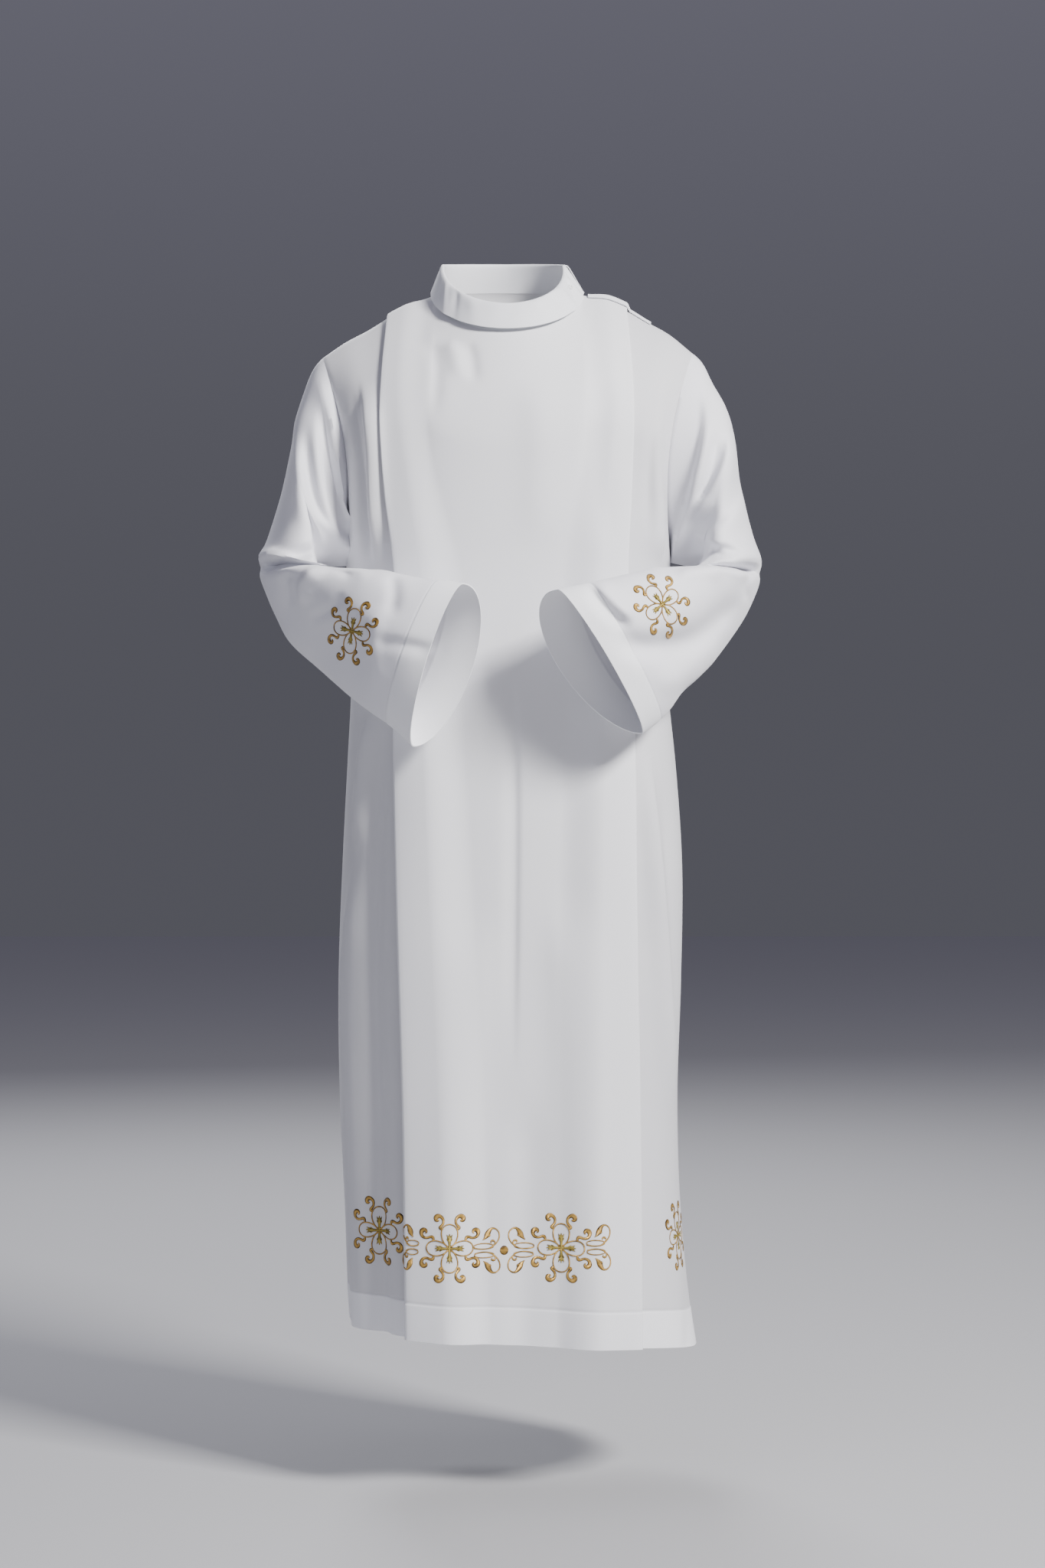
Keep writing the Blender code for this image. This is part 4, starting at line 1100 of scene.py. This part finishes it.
# Strokes are drawn in units of about 1 mm from the middle of their motif.
PETAL_STRAND = 1.5
PETAL_FOOT = 2.5
PETALS = ((32.0, 11.2), (31.0, 10.2))    # length and half width, upright and level
CROSS = (
    # across, out, width: arm, tip, fork and spur
    ((0.0, 0.0, 2.6), (0.0, 7.0, 2.9), (0.0, 14.0, 4.4), (0.0, 17.0, 2.6)),
    ((0.0, 14.0, 2.2), (0.0, 17.0, 1.8), (0.0, 19.6, 0.8)),
    ((0.4, 12.5, 1.8), (2.2, 15.0, 1.7), (3.6, 18.6, 0.8)),
    ((0.5, 9.0, 1.2), (2.6, 11.0, 1.2), (3.6, 13.4, 0.7)),
)
SATIN_SPREAD = 1.3       # how much wider the stitches lie than their drawn line
SATIN_HEIGHT = 0.0006
SATIN_ROUND = 0.42       # height of a narrow strip as a share of its width
SATIN_LIFT = 0.00018
SATIN_PLACES = (0.0, 0.05, 0.25, 0.5, 0.75, 0.95, 1.0)     # over the width, foot to foot
SATIN_SHOULDER = 0.82    # height half way to the foot, as a share of the crown's
STRAND_PITCH = 0.00038
RIM_LIFT = 0.00012
FOOT_SINK = -0.0002
PROBE_FROM = 0.06        # search for the cloth from this far in front, down to as far behind
PROBE_REACH = 0.14
BREAK = 0.006            # a longer step between two stitches ends the strip
VOLUTE_STEEP = (
    # across, out, width
    (8.6, 26.0, 1.4), (10.6, 25.8, 2.8), (12.6, 27.4, 3.6), (11.2, 29.6, 3.0), (9.0, 32.4, 2.7),
    (8.2, 35.8, 2.7), (9.0, 39.4, 3.2), (11.8, 42.2, 3.8), (15.4, 42.8, 5.0), (18.0, 40.6, 5.2),
    (17.9, 37.6, 4.2), (15.6, 36.6, 2.6), (13.9, 37.8, 1.0),
)
VOLUTE_FLAT = (
    # across, out, width
    (9.4, 22.4, 1.4), (11.8, 21.4, 2.7), (14.6, 22.8, 3.5), (14.8, 25.8, 3.0), (13.6, 28.8, 2.7),
    (13.3, 32.0, 2.7), (14.6, 35.4, 3.2), (17.8, 37.6, 3.8), (21.6, 37.4, 5.0), (23.8, 34.8, 5.0),
    (23.2, 32.0, 4.0), (20.8, 31.0, 2.4), (19.2, 32.4, 1.0),
)
SCROLL = (
    # right, up, width
    (-13.0, 3.6, 1.2), (-6.0, 2.2, 1.2), (0.0, 1.9, 1.3), (7.0, 3.0, 1.3), (13.0, 6.4, 1.4),
    (18.0, 11.5, 1.5), (20.6, 18.0, 1.5), (19.8, 24.5, 1.5), (15.6, 28.8, 1.6), (11.0, 29.2, 2.4),
    (7.6, 26.4, 4.2), (5.2, 22.4, 5.6), (3.0, 18.4, 4.6), (0.6, 15.6, 2.0), (-1.6, 13.8, 0.8),
)
SCROLL_CURL = (
    # right, up, width
    (11.5, 6.4, 1.0), (14.4, 8.4, 1.2), (14.6, 11.4, 1.6), (12.0, 13.2, 2.2), (9.6, 11.8, 1.8),
    (10.2, 10.0, 0.9),
)
SCROLL_LEAF = (
    # right, up, width
    (4.4, 20.0, 1.4), (6.8, 19.4, 2.6), (9.2, 20.8, 1.0),
)


def smooth_line(rows, spacing):
    """Even points and widths along a smooth line through a table's rows."""
    points = fine_line(rows)
    run = np.cumsum(np.linalg.norm(np.diff(points[:, :2], axis=0, prepend=points[:1, :2]), axis=1))
    even = np.linspace(0.0, run[-1], max(int(run[-1] / spacing) + 1, 3))
    return np.stack([np.interp(even, run, points[:, column]) for column in range(3)], -1)


def petal(length, half_width):
    """Outline of one petal that points along +y from the middle."""
    turn = np.linspace(0.05, 2 * math.pi - 0.05, 90)
    rise = (1 - np.cos(turn)) / 2
    out = PETAL_FOOT + (length - PETAL_FOOT) * rise
    across = half_width * np.sin(turn) * (0.80 + 0.32 * rise)
    return smooth_line(np.stack((across, out, np.full_like(out, PETAL_STRAND)), -1)[::3], 1.0)


def turned(strokes, angle, mirror=False):
    """Strokes turned round the middle, mirrored first where asked."""
    sine, cosine = math.sin(angle), math.cos(angle)
    sign = -1.0 if mirror else 1.0
    turn = np.array(((cosine * sign, -sine), (sine * sign, cosine)))
    return [np.column_stack((line[:, :2] @ turn.T, line[:, 2])) for line in strokes]


def motif():
    """All gold strokes of one motif, and those of its cross."""
    gold, cross = [], []
    arm, tip, fork, spur = (smooth_line(rows, 0.8) for rows in CROSS)
    for quarter in range(4):
        angle = quarter * math.pi / 2
        outline = petal(*PETALS[quarter % 2])
        volute = smooth_line((VOLUTE_STEEP, VOLUTE_FLAT)[quarter % 2], 0.9)
        gold += turned([outline, volute], angle) + turned([volute], angle, mirror=True)
        cross += turned([arm, tip, fork, spur], angle) + turned([fork, spur], angle, mirror=True)
    return gold, cross


def scroll_pair(stretch=1.0):
    """Two C scrolls that open to the left, joined by two lens-shaped loops."""
    upper = [smooth_line(SCROLL, 0.9), smooth_line(SCROLL_CURL, 0.8), smooth_line(SCROLL_LEAF, 0.8)]
    lens = np.linspace(0.0, 2 * math.pi, 40)
    loop = np.stack((13.2 * np.cos(lens), 5.8 + 3.7 * np.sin(lens), np.full_like(lens, 1.25)), -1)
    upper.append(smooth_line(loop[::2], 0.9))
    strokes = []
    for line in upper:
        strokes.append(line * (stretch, 1.0, 1.0))
        strokes.append(line * (stretch, -1.0, 1.0) + (0.8, 0.0, 0.0))
    return strokes


def dot():
    """Satin stitched oval."""
    turn = np.linspace(-5.6, 5.6, 13)
    width = 9.6 * np.sqrt(np.clip(1 - (turn / 5.75) ** 2, 0.0, 1.0))
    return [np.stack((turn, 0.0 * turn, width), -1)]


def stroke_rings(stroke, tree, middle, right, up, scale):
    """Places across a stroke's width on the cloth, or None where no cloth lies under it."""
    toward = right.cross(up).normalized()
    run = np.gradient(stroke[:, :2], axis=0)
    run /= np.linalg.norm(run, axis=1, keepdims=True) + 1e-9
    across = np.stack((-run[:, 1], run[:, 0]), -1) * stroke[:, 2:3] * SATIN_SPREAD / 2
    rings = []
    for (x, y, width), (side_x, side_y) in zip(stroke, across):
        ring = []
        for side in (-1.0, 0.0, 1.0):
            px, py = x + side_x * side, y + side_y * side
            start = middle + right * (px * scale) + up * (py * scale) + toward * PROBE_FROM
            spot, normal, _, _ = tree.ray_cast(start, -toward, PROBE_REACH)
            ring.append((spot, normal))
        found = all(spot is not None for spot, _ in ring)
        rings.append((ring, width * SATIN_SPREAD * scale) if found else None)
    return rings


def satin_points(ring, width):
    """Points of the domed section of a strip at one place."""
    (left, _), (centre, normal), (right, _) = ring
    top = min(SATIN_HEIGHT, width * SATIN_ROUND) + SATIN_LIFT
    edges = (left, left, left.lerp(centre, 0.5), centre, right.lerp(centre, 0.5), right, right)
    lifts = (FOOT_SINK, RIM_LIFT, top * SATIN_SHOULDER, top, top * SATIN_SHOULDER, RIM_LIFT, FOOT_SINK)
    return [place + normal * lift for place, lift in zip(edges, lifts)]


def satin(name, patches, finish):
    """Raised strips of satin stitch on cloth. A patch is a tree, a middle, two directions on the
    cloth, a scale and its strokes."""
    points, faces, marks = [], [], []
    count = len(SATIN_PLACES)
    for *patch, strokes in patches:
        for stroke in strokes:
            rings = stroke_rings(stroke, *patch)
            travelled = 0.0
            last = None
            for i, found in enumerate(rings):
                if found is None:
                    last = None
                    continue
                centre = found[0][1][0]
                if last is not None and (centre - last[1]).length > BREAK:
                    last = None
                base = len(points)
                points += satin_points(*found)
                travelled += 0.0 if last is None else (centre - last[1]).length
                marks += [(travelled, place) for place in SATIN_PLACES]
                if last is None:
                    faces.append([base + k for k in range(count)])
                else:
                    for k in range(count):
                        after = (k + 1) % count
                        faces.append([last[0] + k, base + k, base + after, last[0] + after])
                following = rings[i + 1] if i + 1 < len(rings) else None
                if following is None or (following[0][1][0] - centre).length > BREAK:
                    faces.append([base + k for k in reversed(range(count))])
                last = (base, centre)
    mesh = bpy.data.meshes.new(name)
    mesh.from_pydata([tuple(point) for point in points], [], faces)
    loops = np.zeros(len(mesh.loops), dtype=int)
    mesh.loops.foreach_get("vertex_index", loops)
    layer = mesh.uv_layers.new(name="thread_metres")
    layer.data.foreach_set("uv", np.array(marks)[loops].ravel())
    face_outwards(mesh)
    mesh.shade_smooth()
    mesh.materials.append(finish)
    piece = add_object(name, mesh)
    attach(piece, "root")
    return piece


def gold_finish(name, light, dark_grain_and_edge_shade, roughness):
    """Metallic thread: rows of fine strands across the strip, with random darker grain, painted shade
    at both of its edges and a painted highlight along its middle.
    """
    material, shader = plain_finish(name, light, roughness, metallic=0.6)
    tree = material.node_tree
    place = add_node(tree, "ShaderNodeUVMap", uv_map="thread_metres").outputs["UV"]
    split = add_node(tree, "ShaderNodeSeparateXYZ", {"Vector": place}).outputs
    strands = add_node(tree, "ShaderNodeMath", {
        0: split["X"], 1: 2 * math.pi / STRAND_PITCH}, operation="MULTIPLY")
    ripple = add_node(tree, "ShaderNodeMath", {0: strands.outputs["Value"]}, operation="SINE")
    # painted shade: the tone darkens towards both edges of the strip and lightens along its middle as a
    # painted highlight
    painted_edge_shade = add_node(tree, "ShaderNodeMath", {0: split["Y"], 1: 0.5}, operation="PINGPONG")
    spot = add_node(tree, "ShaderNodeTexCoord").outputs["Object"]
    grain = add_node(tree, "ShaderNodeTexNoise", {"Vector": spot, "Scale": 170.0, "Detail": 1.0})
    blend = add_node(tree, "ShaderNodeMath", {
        0: grain.outputs["Fac"], 1: 0.7, 2: painted_edge_shade.outputs["Value"]}, operation="MULTIPLY_ADD")
    spread = add_node(tree, "ShaderNodeMapRange", {
        "Value": blend.outputs["Value"], "From Min": 0.38, "From Max": 0.92})
    tone = add_node(tree, "ShaderNodeMix", {
        "Factor": spread.outputs["Result"], "A": (*dark_grain_and_edge_shade, 1.0), "B": (*light, 1.0)}, data_type="RGBA")
    bump = add_node(tree, "ShaderNodeBump", {
        "Strength": 0.6, "Distance": 0.0001, "Height": ripple.outputs["Value"]})
    tree.links.new(tone.outputs["Result"], shader.inputs["Base Color"])
    tree.links.new(bump.outputs["Normal"], shader.inputs["Normal"])
    return material


# dark tones: random grain, and painted shade at the edges of each strip
gold_thread = gold_finish("gold_thread", (0.76, 0.46, 0.11), (0.045, 0.020, 0.004), 0.34)
olive_thread = gold_finish("olive_gold_thread", (0.60, 0.45, 0.10), (0.060, 0.042, 0.008), 0.38)

motif_strokes = motif()
scrolls = scroll_pair()
ORNAMENTS = {
    "motif": motif_strokes,
    "dot": (dot(), []),
    "scrolls": (scrolls, []),
    "scrolls_turned": (turned(scrolls, 0.0, mirror=True), []),
    "scrolls_short": (scroll_pair(0.92), []),
    "scrolls_half": (turned(scroll_pair(0.62), 0.0, mirror=True), []),
}
# Flatness says how far a patch faces straight forward instead of along the cloth under its middle.
EMBROIDERY = (
    # panel, name of its pieces, scale, degrees of turn, flatness, then x, z and ornament of each
    ("front", "skirt_front", 0.00094, 0.0, 1.0, (
        (-0.1180, -1.2140, "scrolls_half"),
        (-0.0715, -1.2138, "motif"),
        (-0.0290, -1.2180, "scrolls"),
        (-0.0035, -1.2180, "dot"),
        (0.0215, -1.2180, "scrolls_turned"),
        (0.0680, -1.2146, "motif"),
        (0.1110, -1.2130, "scrolls_short"),
    )),
    ("front", "skirt_front", 0.00094, 0.0, 0.0, (
        (-0.1620, -1.2000, "motif"),
        (0.2190, -1.2140, "motif"),
    )),
    ("back", "skirt_back", 0.00094, 0.0, 0.0, (
        (0.0930, -1.2170, "motif"),
        (0.0480, -1.2180, "scrolls"),
        (0.0220, -1.2180, "dot"),
        (-0.0040, -1.2180, "scrolls_turned"),
        (-0.0490, -1.2170, "motif"),
        (-0.1650, -1.2040, "motif"),
        (0.1900, -1.2160, "motif"),
    )),
    ("sleeve_right", "sleeve_right", 0.00088, -14.0, 0.85, ((-0.1915, -0.4450, "motif"),)),
    ("sleeve_left", "sleeve_left", 0.00086, 40.0, 0.7, ((0.1920, -0.4125, "motif"),)),
)


def patch_on(tree, toward_y, x, z, scale, degrees, flat):
    """Middle and directions of a patch at a place seen from the front (toward_y -1) or the back."""
    ahead = Vector((0.0, toward_y, 0.0))
    middle, normal, _, _ = tree.ray_cast(Vector((x, toward_y, z)), -ahead)
    normal = normal.lerp(ahead, flat).normalized()
    right = Vector((0.0, 0.0, 1.0)).cross(normal).normalized()
    up = normal.cross(right)
    sine, cosine = math.sin(math.radians(degrees)), math.cos(math.radians(degrees))
    return tree, middle, right * cosine + up * sine, up * cosine - right * sine, scale


threads = {}
for panel, name, scale, degrees, flat, ornaments in EMBROIDERY:
    tree = cloth_tree(bpy.data.objects[panel + "_cloth"])
    gold, crosses = threads.setdefault((panel, name), ([], []))
    for x, z, ornament in ornaments:
        patch = patch_on(tree, 1.0 if panel == "back" else -1.0, x, z, scale, degrees, flat)
        gold_strokes, cross_strokes = ORNAMENTS[ornament]
        gold.append((*patch, gold_strokes))
        crosses.append((*patch, cross_strokes))
for (panel, name), (gold, crosses) in threads.items():
    satin(name + "_gold", gold, gold_thread)
    satin(name + "_crosses", crosses, olive_thread)
